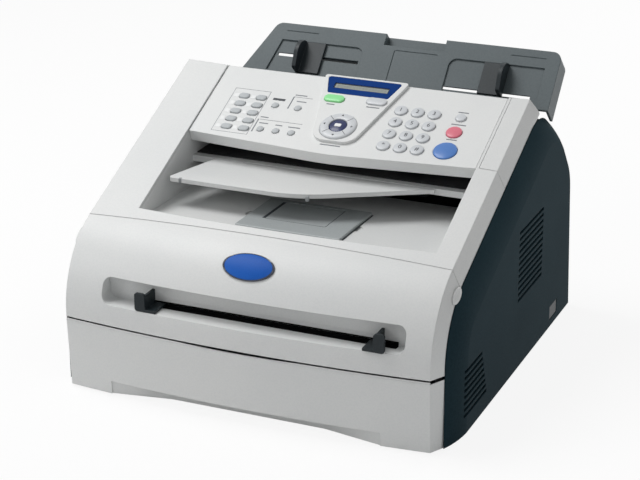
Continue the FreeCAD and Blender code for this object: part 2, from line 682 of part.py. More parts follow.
def make_side_cover(label, side):
    cover = Piece(label)
    hidden = d.facet_drop + d.wall + d.seam + d.nose_lead
    start = facet_edge + d.seam / 2
    spans = (d.side_inner, start) if side > 0 else (-start, -d.side_inner)
    cover.pad("YZ", *spans, side_outline(hidden))
    cover.loft([(side * start, side_outline(d.facet_drop)),
                (side * (start + d.side_mid_run), side_outline(d.side_mid_drop)),
                (side * half_width, side_outline(d.side_full_drop))], ruled=False)
    skin = half_width - d.wall
    inside = (d.side_inner, skin) if side > 0 else (-skin, -d.side_inner)
    cover.cut("YZ", *inside, side_outline(d.side_full_drop + d.hollow_margin, d.hollow_margin))
    through = (skin - d.wall, half_width + d.wall) if side > 0 else (-half_width - d.wall, d.wall - skin)
    slats = []
    for number in range(12):
        low = d.upper_vent_base + d.slat_pitch * number
        slats.append(rect(back(d.upper_vent_front), back(d.upper_vent_rear), low, low + d.slat_open))
    for number in range(8):
        low = d.lower_vent_base + d.slat_pitch * number
        end = back(d.lower_vent_rear) - d.lower_vent_step * number
        slats.append(rect(back(d.lower_vent_front), end, low, low + d.slat_open))
    cover.cut("YZ", *through, *slats)
    return cover


def switch_box(margin):
    """Outline of the rocker, widened all round by a margin."""
    half_long, half_tall = d.switch_length / 2 + margin, d.switch_tall / 2 + margin
    y, z = back(d.switch_depth), d.switch_height
    return rect(y - half_long, y + half_long, z - half_tall, z + half_tall)


def make_side_covers():
    make_side_cover("left_side_cover", -1)
    right = make_side_cover("right_side_cover", 1)
    right.cut("YZ", d.side_inner, half_width + d.wall, switch_box(d.seam))
    switch = Piece("power_switch")
    face = half_width - d.clearance
    switch.pad("YZ", face - d.switch_deep, face, switch_box(sized(0)))
    pivot_at, pivot_reach = half_width - d.wall / 2, d.switch_tall / 2 + d.wall
    low, high = d.switch_height - pivot_reach, d.switch_height + pivot_reach
    switch.pad("XY", low, high, disc(pivot_at, back(d.switch_depth), d.pivot_radius))
    pivot_hole = disc(pivot_at, back(d.switch_depth), d.pivot_radius + d.running_fit)
    right.cut("XY", low - d.clearance, high + d.clearance, pivot_hole)


def rear_line(height):
    """Depth of the outer face of the leaning back at a height."""
    return rear - d.rear_lean * (height - d.skirt_bottom) / (d.knee_height - d.skirt_bottom)


def make_rear_cover():
    cover = Piece("rear_cover")
    half = d.side_inner - d.seam
    sunk = d.facet_drop + d.wall
    cover.pad("YZ", -half, half, side_outline(sunk))
    cover.cut("YZ", -half, half, side_outline(sunk + d.wall, d.wall))
    cover.cut("XZ", back(-d.depth), back(d.case_rear) + d.wall, everything(0, d.depth))
    doorway = rect(-d.door_half, d.door_half, d.door_base, d.door_top)
    cover.cut("XZ", back(d.frame_rear), rear + d.wall, doorway)
    inlet = rect(d.inlet_at, d.inlet_at + d.inlet_wide, d.inlet_base, d.inlet_base + d.inlet_tall)
    jacks = [jack_box(number, d.clearance) for number in range(2)]
    cover.cut("XZ", back(d.frame_rear), rear + d.wall, inlet, *jacks)
    return cover


def jack_box(number, margin):
    """Outline of one line jack, widened by a margin."""
    left = d.jack_at + number * (d.jack_wide + d.wall)
    base, top = d.inlet_base - margin, d.inlet_base + d.jack_tall + margin
    return rect(left - margin, left + d.jack_wide + margin, base, top)


def make_back_fittings():
    door = Piece("back_door")
    low, high = d.door_base + d.seam + d.door_thick / 2, d.door_top - d.seam
    half = d.door_half - d.clearance

    foot, head = rear_line(low), rear_line(high)
    slab = [(foot - d.door_thick, low), (foot, low), (head, high), (head - d.door_thick, high)]
    door.pad("YZ", -half, half, slab)
    door.pad("YZ", -half, half, disc(foot - d.door_thick / 2, low, d.door_thick / 2))
    inlet = Piece("power_inlet")
    spot = (d.inlet_at + d.clearance, d.inlet_at + d.inlet_wide - d.clearance)
    shell = rect(*spot, d.inlet_base + d.clearance, d.inlet_base + d.inlet_tall - d.clearance)
    outer = rear_line(d.inlet_base + d.inlet_tall)
    inlet.pad("XZ", back(d.frame_rear) + d.clearance, outer, shell)
    base, top = d.inlet_base + 2 * d.wall, d.inlet_base + d.inlet_tall - 2 * d.wall
    socket = rect(spot[0] + d.wall, spot[1] - d.wall, base, top)
    inlet.cut("XZ", outer - d.hollow_margin, outer, socket)
    jacks = Piece("line_jacks")
    for number in range(2):
        jacks.pad("XZ", back(d.frame_rear) + d.clearance, outer, jack_box(number, sized(0)))
        jacks.cut("XZ", outer - d.hollow_margin, outer, jack_box(number, -d.wall))


def make_base_frame():
    frame = Piece("base_frame")
    top_rear = d.frame_top_rear
    wall_side = [
        (back(d.frame_front), d.skirt_bottom),
        (back(d.frame_rear), d.skirt_bottom),
        (back(d.frame_rear), d.frame_top_front),
        (back(d.case_rear), top_rear),
        (back(d.deck_front), d.frame_top_front + d.deck_front / 2),
        (back(d.frame_front), d.frame_top_front),
    ]
    for start in (-d.frame_half, d.frame_half - d.frame_wall):
        frame.pad("YZ", start, start + d.frame_wall, wall_side)
    floor = rect(-d.frame_half, d.frame_half, back(d.frame_front + d.front_bow), back(d.frame_rear))
    frame.pad("XY", d.skirt_bottom, d.skirt_bottom + d.frame_wall, floor)
    deck = rect(-d.frame_half, d.frame_half, back(d.deck_front), back(d.frame_rear))
    frame.pad("XY", d.deck_height, d.deck_height + d.frame_wall, deck)
    frame.pad("XZ", back(d.frame_rear) - d.frame_wall, back(d.frame_rear),
              rect(-d.frame_half, d.frame_half, d.skirt_bottom, d.deck_height))
    sill = rect(back(d.sill_depth), back(d.frame_front) + d.frame_wall, d.sill_height - d.frame_wall,
                d.sill_height + d.frame_wall)
    frame.pad("YZ", -d.frame_half, d.frame_half, sill)
    for side in (-1, 1):
        start = side * d.lug_at - d.lug_width / 2
        arm = rect(back(d.hinge_depth), back(d.sill_depth) + d.wall, d.hinge_height - d.lug_radius,
                   d.hinge_height + d.lug_radius)
        frame.pad("YZ", start, start + d.lug_width, arm)
        frame.pad("YZ", start, start + d.lug_width, disc(back(d.hinge_depth), d.hinge_height, d.lug_radius))
        bore = disc(back(d.hinge_depth), d.hinge_height, d.pin_radius + d.running_fit)
        frame.cut("YZ", start - d.wall, start + d.lug_width + d.wall, bore)
    shaft = d.shaft_radius + d.running_fit
    holes = [disc(back(d.roller_depth), d.roller_height, shaft)]
    frame.cut("YZ", -d.frame_half, d.frame_half, *holes)
    feet = Piece("rubber_feet")
    reach = d.frame_half - d.foot_inset
    near, far = back(d.frame_front + d.front_bow + d.foot_inset), back(d.frame_rear - d.foot_inset)
    pads = [disc(x, y, d.foot_radius) for x in (-reach, reach) for y in (near, far)]
    feet.pad("XY", 0, d.skirt_bottom, *pads)


# The panel, its keys and display share the tilted frame of the slope

def on_panel(label):
    return Piece(label, back(d.panel_depth), panel_height, d.slope)


KEY_LABELS = ["key_star", "key_0", "key_hash", "key_7", "key_8", "key_9", "key_4", "key_5", "key_6",
              "key_1", "key_2", "key_3"]


def keys():
    """Label, outline function and rise of every key that travels by itself."""
    found = []
    for number, label in enumerate(KEY_LABELS):
        u = d.digit_left + d.digit_pitch_x * (number % 3)
        v = d.digit_base + d.digit_pitch_v * (number // 3)
        found.append((label, u, v, d.digit_half, d.digit_half, sized(0)))
    found.append(("start_key", d.start_at, d.start_v, d.start_half, d.start_half, sized(0)))
    found.append(("stop_key", d.start_at, d.stop_v, d.stop_half, d.stop_half, sized(0)))
    found.append(("options_key", d.start_at, d.options_v, d.options_half, d.options_half, sized(0)))
    found.append(("fax_key", d.fax_at, d.fax_v, d.mode_long, d.mode_short, d.pod_rise))
    found.append(("copy_key", d.copy_at, d.copy_v, d.mode_long, d.mode_short, d.pod_rise))
    return found


def key_outline(u, v, long, short, margin):
    """Round key, or a long one with round ends, widened by a margin."""
    if long is short:
        return disc(u, v, long + margin)
    end = (short + margin) * 0.98
    return rect(u - long - margin, u + long + margin, v - short - margin, v + short + margin, end)


def touch_outlines(margin):
    """The ten one-touch keys in two columns and the five small keys beside them."""
    found = []
    for number in range(10):
        u = d.touch_left + d.touch_pitch_x * (number % 2)
        v = d.touch_base + d.touch_pitch_v * (number // 2)
        found.append(rect(u - d.touch_long - margin, u + d.touch_long + margin, v - d.touch_short - margin,
                          v + d.touch_short + margin, d.touch_short * 0.9))
    for number in range(3):
        found.append(disc(d.small_left + d.small_pitch * number, d.small_v, d.touch_short + margin))
    for number in range(2):
        u = d.upper_small_left + d.upper_small_pitch * number
        found.append(disc(u, d.upper_small_v, d.touch_short + margin))
    return found


def pod_outline():
    """Raised pod: a shield that carries the display and narrows round the navigation ring."""
    top = d.panel_length + d.wall / 2
    return [
        (d.pod_left, top, d.wall),
        (d.pod_waist, d.pod_waist_v, d.pod_corner),
        (d.pod_foot_left, d.pod_foot_v, d.pod_corner),
        (d.pod_foot_right, d.pod_foot_v, d.pod_corner),
        (d.pod_right, top, d.wall),
    ]


def bezel_outline(margin):
    """Blue surround of the display, inside the pod."""
    low = d.copy_v + d.mode_short + 2 * d.seam
    top = d.panel_length - d.wall / 2 + margin
    return [
        (d.lcd_left - d.wall - margin, low - margin, d.wall),
        (d.lcd_right + d.wall + margin, low - margin, d.wall),
        (d.lcd_right + 4 * d.wall + margin, top, d.wall),
        (d.lcd_left - 4 * d.wall - margin, top, d.wall),
    ]


def make_control_panel():
    panel = on_panel("control_panel")
    middle = (d.panel_left + d.panel_right) / 2
    plan = [
        (d.panel_left, 0),
        (middle, -d.panel_bow, d.depth),
        (d.panel_right, 0),
        (d.panel_right, d.panel_length),
        (d.panel_left, d.panel_length),
    ]
    inner = [
        (d.panel_left + d.wall, d.wall),
        (middle, d.wall - d.panel_bow, d.depth),
        (d.panel_right - d.wall, d.wall),
        (d.panel_right - d.wall, d.panel_length - d.wall),
        (d.panel_left + d.wall, d.panel_length - d.wall),
    ]
    panel.pad("XY", -d.panel_lip, 0, plan)
    panel.cut("XY", -d.panel_lip - d.wall, -d.panel_plate, inner)
    panel.pad("XY", -d.panel_plate, d.pod_rise, pod_outline())
    window = rect(d.lcd_left, d.lcd_right, d.lcd_base, d.lcd_top)
    through = (-d.panel_lip, d.pod_rise + d.wall)
    panel.cut("XY", d.pod_rise - d.bezel_rise, d.pod_rise + d.wall, bezel_outline(d.clearance))
    panel.cut("XY", *through, window)
    holes = [key_outline(*key[1:5], d.clearance) for key in keys()]
    panel.cut("XY", *through, *holes, disc(d.nav_at, d.nav_v, d.nav_radius + d.clearance))
    panel.cut("XY", *through, *touch_outlines(d.clearance))
    inlet = rect(d.slot_left, d.slot_right, -d.panel_lip - d.wall, -d.panel_plate)
    panel.cut("XZ", d.panel_length - 2 * d.wall, d.panel_length + d.wall, inlet)
    pin = disc(d.panel_hinge_v, -d.panel_hinge_sunk, d.panel_pin)
    panel.pad("YZ", d.bucket_left - d.wall, d.panel_left + d.wall, pin)
    panel.pad("YZ", d.panel_right - d.wall, d.bucket_right + d.wall, pin)
    return panel


def make_keys():
    for label, u, v, long, short, lift in keys():
        key = on_panel(label)
        outline = key_outline(u, v, long, short, sized(0))
        key.pad("XY", lift - d.key_root - d.key_travel, lift + d.key_rise, outline)
    ring = on_panel("nav_ring")
    ring.pad("XY", d.pod_rise - d.key_root, d.pod_rise + d.key_rise, disc(d.nav_at, d.nav_v, d.nav_radius),
             disc(d.nav_at, d.nav_v, d.nav_bore + d.clearance))
    centre = on_panel("nav_key")
    centre.pad("XY", -d.key_root, d.pod_rise + d.key_rise, disc(d.nav_at, d.nav_v, d.nav_bore))
    mat = on_panel("soft_keys")
    mat.pad("XY", -d.key_root, d.mat_rise, *touch_outlines(sized(0)))
    bezel = on_panel("display_bezel")
    level = d.pod_rise - d.bezel_rise
    bezel.pad("XY", level, d.pod_rise, bezel_outline(sized(0)))
    bezel.cut("XY", level, d.pod_rise, rect(d.lcd_left, d.lcd_right, d.lcd_base, d.lcd_top))
    lcd = on_panel("lcd_screen")
    lcd.pad("XY", level - d.lcd_thick, level, rect(d.lcd_left + d.clearance, d.lcd_right - d.clearance,
                                                   d.lcd_base + d.clearance, d.lcd_top - d.clearance))


# The document tray and guides share the frame of its steep plate

pinion_at = (d.doc_guide_left + d.doc_guide_right) / 2
pinion_v = (d.rail_base + d.low_rail_top) / 2
rack_low = -d.feeder_plate - d.clearance


def number_of(size):
    return size.number


def on_feeder(label):
    return Piece(label, back(d.feeder_depth), d.feeder_height, d.feeder_angle)


def make_document_tray():
    tray = on_feeder("document_tray")
    length, slant = d.feeder_length, d.feeder_slant
    plan = [
        (d.feeder_left, d.feeder_base),
        (d.feeder_right, d.feeder_base),
        (d.feeder_right, length, d.feeder_corner),
        (d.feeder_left + slant, length, d.feeder_corner),
    ]
    tray.pad("XY", -d.feeder_deep, 0, plan)
    inner = [
        (d.feeder_left + 2 * d.wall, d.feeder_base - d.wall),
        (d.feeder_right - d.wall, d.feeder_base - d.wall),
        (d.feeder_right - d.wall, length - d.wall, d.feeder_corner - d.wall),
        (d.feeder_left + slant + 2 * d.wall, length - d.wall, d.feeder_corner - d.wall),
    ]
    tray.cut("XY", -d.feeder_deep - d.wall, -d.feeder_plate, inner)
    notch_base = length - d.notch_deep
    tray.pad("XY", -d.notch_floor - d.wall, 0, rect(d.notch_left - d.wall, d.notch_right + d.wall,
                                                    notch_base - d.wall, length))
    tray.cut("XY", -d.notch_floor, d.wall, rect(d.notch_left, d.notch_right, notch_base, length + d.wall))
    left_pocket = [
        (d.pocket_left, d.pocket_base),
        (d.pocket_mid_left, d.pocket_base),
        (d.pocket_mid_left, d.pocket_top, d.pocket_corner),
        (d.pocket_left + d.pocket_slant, d.pocket_top),
    ]
    right_pocket = [
        (d.pocket_mid_right, d.pocket_base),
        (d.pocket_right, d.pocket_base),
        (d.pocket_right, d.pocket_top),
        (d.pocket_mid_right, d.pocket_top, d.pocket_corner),
    ]
    tray.cut("XY", -d.pocket_deep, d.wall, left_pocket, right_pocket)
    left_rail = rect(d.pocket_left + 3 * d.wall, d.pocket_mid_left - d.wall, d.rail_base, d.rail_top)
    right_rail = rect(d.pocket_mid_right, d.pocket_right - 3 * d.wall, d.low_rail_base, d.low_rail_top)
    tray.cut("XY", -d.feeder_plate - d.wall, d.wall, left_rail, right_rail)
    scores = [rect(left, left + d.score_long, d.score_v, d.score_v + d.score_wide)
              for left in (d.score_left, d.score_right)]
    lid_side = rect(d.lid_left, d.lid_left + d.score_wide, d.feeder_base + d.wall, d.lid_top)
    lid_head = rect(d.lid_left + 2 * d.score_wide, d.lid_right, d.lid_top, d.lid_top + d.score_wide)
    tray.cut("XY", -d.score_deep, d.wall, *scores, lid_side, lid_head)
    axle = disc(pinion_at, pinion_v, d.shaft_radius + d.running_fit)
    tray.cut("XY", -d.feeder_plate, -d.feeder_plate / 2 + d.clearance, axle)
    return tray


def make_document_guides():
    for label, side, inner in (("document_guide_left", -1, d.doc_guide_left),
                               ("document_guide_right", 1, d.doc_guide_right)):
        guide = on_feeder(label)
        low = d.clearance - d.pocket_deep
        base = inner - d.doc_fin_thick if side < 0 else inner + d.doc_fin_thick - d.doc_base_wide
        rail = (d.rail_base, d.rail_top) if side < 0 else (d.low_rail_base, d.low_rail_top)
        guide.pad("XY", low, low + d.wall, rect(base, base + d.doc_base_wide, d.doc_fin_base + d.seam,
                                                d.pocket_top - d.seam))
        fin = inner - d.doc_fin_thick if side < 0 else inner
        blade = [
            (d.doc_fin_base + d.seam, low),
            (d.pocket_top - d.seam, low),
            (d.pocket_top - d.seam, d.doc_fin_tall, d.doc_fin_tall * 0.7),
            (d.doc_fin_base + d.seam, d.doc_fin_tall / 2, d.wall),
        ]
        guide.pad("YZ", fin, fin + d.doc_fin_thick, blade)
        foot = rect(inner - d.wall, inner + d.wall, rail[0] + d.clearance, rail[1] - d.clearance)
        rack_base = rack_low - d.pinion_thick
        guide.pad("XY", rack_base, low + d.wall / 2, foot)
        reach = d.pinion_radius + d.clearance
        rack_end = pinion_at - side * (reach + d.rack_spare)
        upper, lower = max((inner, rack_end), key=number_of), min((inner, rack_end), key=number_of)
        edge = pinion_v - side * reach
        rack_v = (edge, edge + d.rack_wide) if side < 0 else (edge - d.rack_wide, edge)
        guide.pad("XY", rack_base, rack_low, rect(lower, upper, *rack_v))
        link_v = (rail[0] + d.clearance, rack_v[1]) if side < 0 else (rack_v[0], rail[1] - d.clearance)
        guide.pad("XY", rack_base, rack_low, rect(inner - d.wall, inner + d.wall, *link_v))


def make_feeder_inside():
    scan = Piece("scan_unit")
    thick = d.scan_tall / 2
    chute = [
        (back(d.bar_depth) + d.bar_deep + d.clearance, d.bar_height),
        (back(d.scan_rear), d.bar_height),
        (back(d.case_rear), d.feeder_height - d.scan_tall),
        (back(d.case_rear), d.feeder_height - thick),
        (back(d.scan_rear), d.bar_height + thick),
        (back(d.bar_depth) + d.bar_deep + d.clearance, d.bar_height + thick),
    ]
    scan.pad("YZ", d.bucket_left + d.clearance, d.bucket_right - d.clearance, chute)
    bed = rect(back(d.scan_front), back(d.scan_rear), d.bar_height - thick, d.bar_height + thick / 2)
    scan.pad("YZ", d.slot_left, d.slot_right, bed)
    for label, depth, height, radius in (
            ("document_roller", d.doc_roller_depth, d.doc_roller_height, d.doc_roller_radius),
            ("exit_roller", d.exit_depth, d.exit_height, d.exit_radius)):
        roller = Piece(label)
        shaft = disc(back(depth), height, d.shaft_radius)
        roller.pad("YZ", d.bucket_left - d.wall, d.bucket_right + d.wall, shaft)
        for place in (-2, 0, 2):
            middle = (d.bucket_left + d.bucket_right) / 2 + place * d.roller_half
            sleeve = disc(back(depth), height, radius)
            roller.pad("YZ", middle - d.roller_half / 2, middle + d.roller_half / 2, sleeve)
    pinion = on_feeder("guide_pinion")
    low = rack_low - d.pinion_thick
    pinion.pad("XY", low, rack_low, disc(pinion_at, pinion_v, d.pinion_radius))
    pinion.pad("XY", low, -d.feeder_plate / 2, disc(pinion_at, pinion_v, d.shaft_radius))


def make_engine():
    floor = d.deck_height + d.frame_wall
    toner = Piece("toner_cartridge")
    toner.pad("YZ", -d.toner_half, d.toner_half, rect(back(d.toner_front), back(d.toner_rear), d.toner_base,
                                                      d.toner_top, d.wall * 3))
    drum = Piece("drum_unit")
    drum_side = rect(back(d.drum_front), back(d.drum_rear), floor, d.drum_top, d.wall)
    drum.pad("YZ", -d.drum_half, d.drum_half, drum_side)
    cradle = rect(back(d.toner_front), back(d.drum_front) + d.wall, floor, d.toner_base - d.clearance)
    drum.pad("YZ", -d.drum_half, d.drum_half, cradle)
    laser = Piece("laser_unit")
    laser_side = rect(back(d.laser_front), back(d.laser_rear), floor, d.laser_top, d.wall)
    laser.pad("YZ", -d.laser_half, d.laser_half, laser_side)
    fuser = Piece("fuser_unit")
    fuser_side = rect(back(d.fuser_front), back(d.fuser_rear), floor, d.fuser_top, d.wall * 2)
    fuser.pad("YZ", -d.fuser_half, d.fuser_half, fuser_side)
    pickup = Piece("pickup_roller")
    pickup.pad("YZ", -d.frame_half, d.frame_half, disc(back(d.roller_depth), d.roller_height, d.shaft_radius))
    sleeve = disc(back(d.roller_depth), d.roller_height, d.roller_radius)
    pickup.pad("YZ", -d.roller_half, d.roller_half, sleeve)
    for label, side in (("main_board", -1), ("power_supply", 1)):
        board = Piece(label)
        face = d.frame_half - d.frame_wall
        near, far = face - d.board_stand, face - d.board_stand - d.board_thick
        sheet_span = (far, near) if side > 0 else (-near, -far)
        stand_span = (near, face) if side > 0 else (-face, -near)
        plan = rect(back(d.board_front), back(d.board_rear), d.board_base, d.board_top)
        board.pad("YZ", *sheet_span, plan)
        stand_depths = (d.board_front + d.foot_radius, d.board_rear - d.foot_radius)
        stands = [disc(back(y), z, d.shaft_radius) for y in stand_depths
                  for z in (d.board_base + d.foot_radius, d.board_top - d.foot_radius)]
        board.pad("YZ", *stand_span, *stands)


make_base_frame()
make_side_covers()
make_rear_cover()
make_back_fittings()
make_upper_case()
make_right_arm_cap()
make_front_cover()
make_badge()
make_feed_guides()
make_paper_tray()
make_lift_plate()
make_tray_guides()
make_flaps()
make_document_support()
make_control_panel()
make_keys()
make_document_tray()
make_document_guides()
make_feeder_inside()
make_engine()

doc.recompute()
faults = [o.Name for o in doc.Objects if "Invalid" in o.State or "Error" in o.State]
for piece in PIECES:
    shape = piece.body.Shape
    if shape.isNull() or not shape.isValid() or not shape.Solids:
        faults.append(piece.body.Label)
if faults:
    raise RuntimeError("failed: " + ", ".join(faults))
os.makedirs("parts", exist_ok=True)
for piece in PIECES:
    piece.body.Shape.exportStep("parts/%s.step" % piece.body.Label)
    print(piece.body.Label, len(piece.body.Shape.Solids), round(piece.body.Shape.Volume))
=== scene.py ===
# %% [markdown]
# # A desktop fax machine
#
# The machine's solids come from its construction drawing, already in place and in metres. Blender adds
# what a drawing can't hold: the grain of each plastic, the printed digits, the domed keys, the oval badge
# and the light. The solids are loaded first and are never moved.

# %% Load the solids
import math

import bmesh
import bpy
from mathutils import Matrix, Vector


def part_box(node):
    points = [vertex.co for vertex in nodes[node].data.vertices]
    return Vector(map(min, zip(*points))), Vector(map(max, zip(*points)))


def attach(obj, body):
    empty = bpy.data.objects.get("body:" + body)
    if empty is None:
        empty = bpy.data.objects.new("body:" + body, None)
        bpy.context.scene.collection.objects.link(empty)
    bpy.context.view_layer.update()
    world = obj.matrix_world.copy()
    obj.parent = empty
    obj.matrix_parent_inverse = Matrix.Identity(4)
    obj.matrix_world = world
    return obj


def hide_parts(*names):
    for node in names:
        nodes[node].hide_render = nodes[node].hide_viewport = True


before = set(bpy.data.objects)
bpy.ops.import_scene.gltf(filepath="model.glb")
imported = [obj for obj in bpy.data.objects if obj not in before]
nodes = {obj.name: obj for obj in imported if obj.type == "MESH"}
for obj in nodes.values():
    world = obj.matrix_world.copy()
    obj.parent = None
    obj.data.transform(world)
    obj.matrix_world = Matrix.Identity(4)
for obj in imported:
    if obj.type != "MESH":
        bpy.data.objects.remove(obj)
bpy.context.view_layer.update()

# %% [markdown]
# ## Camera
#
# The straight edges of the front and the slope of the keypad gave the place and the turn of the real
# camera. It stands to the right of the machine, well above it, with a long lens, so lines that run back
# hardly converge. A camera set by eye would do for a first look, but then every piece seems a little off.
# The picture is 640 pixels wide and the focal length is 1900 of them; with the width of the sensor, that
# gives the lens.

# %% Camera at the picture's angle
CAMERA_AT = (0.6616, -1.5117, 0.7622)
YAW, PITCH, ROLL = math.radians(23.65), math.radians(21.64), -0.007118
SENSOR = 36.0
FOCAL_PIXELS, PICTURE_WIDE = 1900, 640
LENS = FOCAL_PIXELS / PICTURE_WIDE * SENSOR

lens = bpy.data.cameras.new("camera")
lens.sensor_width = SENSOR
lens.lens = LENS
camera = bpy.data.objects.new("camera", lens)
bpy.context.scene.collection.objects.link(camera)
aim = Matrix.Rotation(YAW, 4, "Z") @ Matrix.Rotation(math.pi / 2 - PITCH, 4, "X")
camera.matrix_world = Matrix.Translation(CAMERA_AT) @ aim @ Matrix.Rotation(ROLL, 4, "Z")
bpy.context.scene.camera = camera
bpy.context.scene.view_settings.view_transform = "Standard"
print("lens:", round(LENS, 2), "mm")

# %% [markdown]
# ## Shader sums
#
# Finishes need a little arithmetic, such as one minus a mask. Math nodes could be added and linked one by
# one, but the sum is then hard to read. A small class wraps a socket so that a sum in Python adds the
# Math node that does it. Every other node comes from one method, which sets the node's own settings first
# and then fills or links its sockets.

# %% A socket for sums, and a material that takes nodes
class Wire:
    """An output socket; a sum on it adds a Math node."""

    def __init__(self, paint, socket):
        self.paint = paint
        self.socket = socket

    def sum(self, operation, first, second):
        return self.paint.node("ShaderNodeMath", {"operation": operation}, {0: first, 1: second})

    def __add__(self, other):
        return self.sum("ADD", self, other)

    def __radd__(self, other):
        return self.sum("ADD", other, self)

    def __sub__(self, other):
        return self.sum("SUBTRACT", self, other)

    def __rsub__(self, other):
        return self.sum("SUBTRACT", other, self)

    def __mul__(self, other):
        return self.sum("MULTIPLY", self, other)

    def __rmul__(self, other):
        return self.sum("MULTIPLY", other, self)


class Paint:
    """A material, or the sky, in the making."""

    def __init__(self, name, shelf=bpy.data.materials):
        self.material = shelf.new(name)
        self.material.use_nodes = True
        self.tree = self.material.node_tree
        self.tree.nodes.clear()

    def node(self, kind, settings=None, sockets=None, out=0):
        made = self.tree.nodes.new(kind)
        for key, value in (settings or {}).items():
            setattr(made, key, value)
        for key, value in (sockets or {}).items():
            if isinstance(value, Wire):
                self.tree.links.new(value.socket, made.inputs[key])
            else:
                made.inputs[key].default_value = value
        return Wire(self, made.outputs[out]) if len(made.outputs) else None

    def place(self):
        return self.node("ShaderNodeTexCoord", out="Object")

    def noise(self, scale, detail, rough, place):
        return self.node("ShaderNodeTexNoise", {}, {
            "Vector": place, "Scale": scale, "Detail": detail, "Roughness": rough})

    def mix(self, share, first, second):
        """First where share is zero, second where it is one; 6 and 7 are the colour sockets."""
        return self.node("ShaderNodeMix", {"data_type": "RGBA"}, {"Factor": share, 6: first, 7: second},
                         out=2)

    def ramp(self, value, low, high):
        """Zero below low, one above high, smooth between."""
        return self.node("ShaderNodeMapRange", {"interpolation_type": "SMOOTHSTEP"}, {
            "Value": value, "From Min": low, "From Max": high})

    def bump(self, height, strength, depth, edge=0.0):
        """Relief on the surface; an edge radius also rounds the light across sharp edges."""
        sockets = {"Height": height, "Strength": strength, "Distance": depth}
        if edge:
            sockets["Normal"] = self.node("ShaderNodeBevel", {"samples": 6}, {"Radius": edge})
        return self.node("ShaderNodeBump", {}, sockets)

    def seen_or_mirrored(self):
        """One for rays that the camera sees, straight, in a mirror or through glass."""
        seen, mirrored, through = (self.node("ShaderNodeLightPath", out="Is %s Ray" % kind)
                                   for kind in ("Camera", "Glossy", "Transmission"))
        return seen + mirrored + through

    def finish(self, **sockets):
        named = {key.replace("_", " "): value for key, value in sockets.items()}
        skin = self.node("ShaderNodeBsdfPrincipled", {}, named)
        self.node("ShaderNodeOutputMaterial", {}, {"Surface": skin})
        return self.material


def linear(*srgb):
    """Colour as it is read off a screen, 0 to 255, turned to the linear value that a shader needs."""
    shares = [c / 255 for c in srgb]
    return tuple(s / 12.92 if s <= 0.04045 else ((s + 0.055) / 1.055) ** 2.4 for s in shares) + (1.0,)


print("shader kit ready")

# %% [markdown]
# ## Moulded plastic
#
# Nearly all of the machine is moulded plastic. The mould is etched, so the skin has a fine even grain
# that breaks up highlights; large faces also vary slightly in tone where the plastic flowed. A scanned
# grain would need every face unwrapped. Noise on object coordinates needs none of that and keeps one
# grain size on all pieces, so one function makes this finish, with a grain size, a tone and a depth for
# each moulding.

# %% Plastic finishes
CLOUD, FLECK, MEAN = 7.0, 0.45, 0.5
CLOUD_SHARE, FLECK_SHARE = 0.6, 0.4
ETCHED_GLOSS, CLOUD_GLOSS = 0.12, 0.06


def moulded(name, colour, tone, roughness, grain=1400.0, depth=0.00012, strength=0.25, coat=0.0, edge=0.0009,
            shine=0.5):
    paint = Paint(name)
    place = paint.place()
    cloud = paint.noise(CLOUD, detail=3.0, rough=0.55, place=place)
    etched = paint.noise(grain, detail=2.0, rough=0.6, place=place)
    fleck = paint.noise(grain * FLECK, detail=1.0, rough=0.5, place=place)
    clouded, flecked = paint.ramp(cloud, 0.3, 0.7), paint.ramp(fleck, 0.35, 0.7)
    tint = paint.mix(clouded * CLOUD_SHARE + flecked * FLECK_SHARE, colour, tone)
    relief = paint.bump(etched, strength, depth, edge)
    gloss = roughness + (etched - MEAN) * ETCHED_GLOSS + (cloud - MEAN) * CLOUD_GLOSS
    return paint.finish(Base_Color=tint, Roughness=gloss, Normal=relief, Coat_Weight=coat,
                        Specular_IOR_Level=shine)


light_shell = moulded("light_shell", linear(222, 223, 222), linear(214, 216, 216), 0.46)
light_panel = moulded("light_panel", linear(226, 227, 226), linear(219, 221, 221), 0.40, 1800.0, 0.00008)
dark_shell = moulded("dark_shell", linear(35, 54, 61), linear(28, 45, 52), 0.5, 1100.0, 0.00016, 0.35,
                     shine=0.012)
tray_grey = moulded("tray_grey", linear(90, 99, 102), linear(80, 89, 92), 0.44, 1300.0, shine=0.25)
flap_grey = moulded("flap_grey", linear(168, 173, 174), linear(156, 162, 163), 0.45, 1500.0)
guide_black = moulded("guide_black", linear(38, 46, 50), linear(28, 35, 38), 0.40, 1500.0, shine=0.25)
inner_black = moulded("inner_black", linear(38, 39, 41), linear(30, 31, 33), 0.55, 900.0, 0.0002, 0.4,
                      shine=0.2)
# Painted shade: this near-black finish colours the bars that stand in for the shade inside the feed slot.
slot_painted_shade = moulded("slot_painted_shade", linear(12, 13, 14), linear(9, 10, 11), 0.6, 1200.0, shine=0.03)
key_grey = moulded("key_grey", linear(206, 209, 212), linear(196, 200, 204), 0.34, 2200.0, 0.00005)
print("plastics from", light_shell.name, "to", key_grey.name)

# %% [markdown]
# ## Coloured and special finishes
#
# The mode, stop and start keys are coloured mouldings with a finer grain and more gloss, so they take the
# plastic finish with other values. The display has a blue surround and a grey-green glass. Inside are
# black rubber rollers, a pressed steel plate and green circuit boards. Those differ in kind and not only
# in value, so each has a short function of its own.

# %% Gloss, rubber, steel, board and display
def glossy(name, colour, tone, roughness=0.3, coat=0.1, shine=0.3):
    return moulded(name, colour, tone, roughness, 2600.0, 0.00003, 0.15, coat, 0.0003, shine)


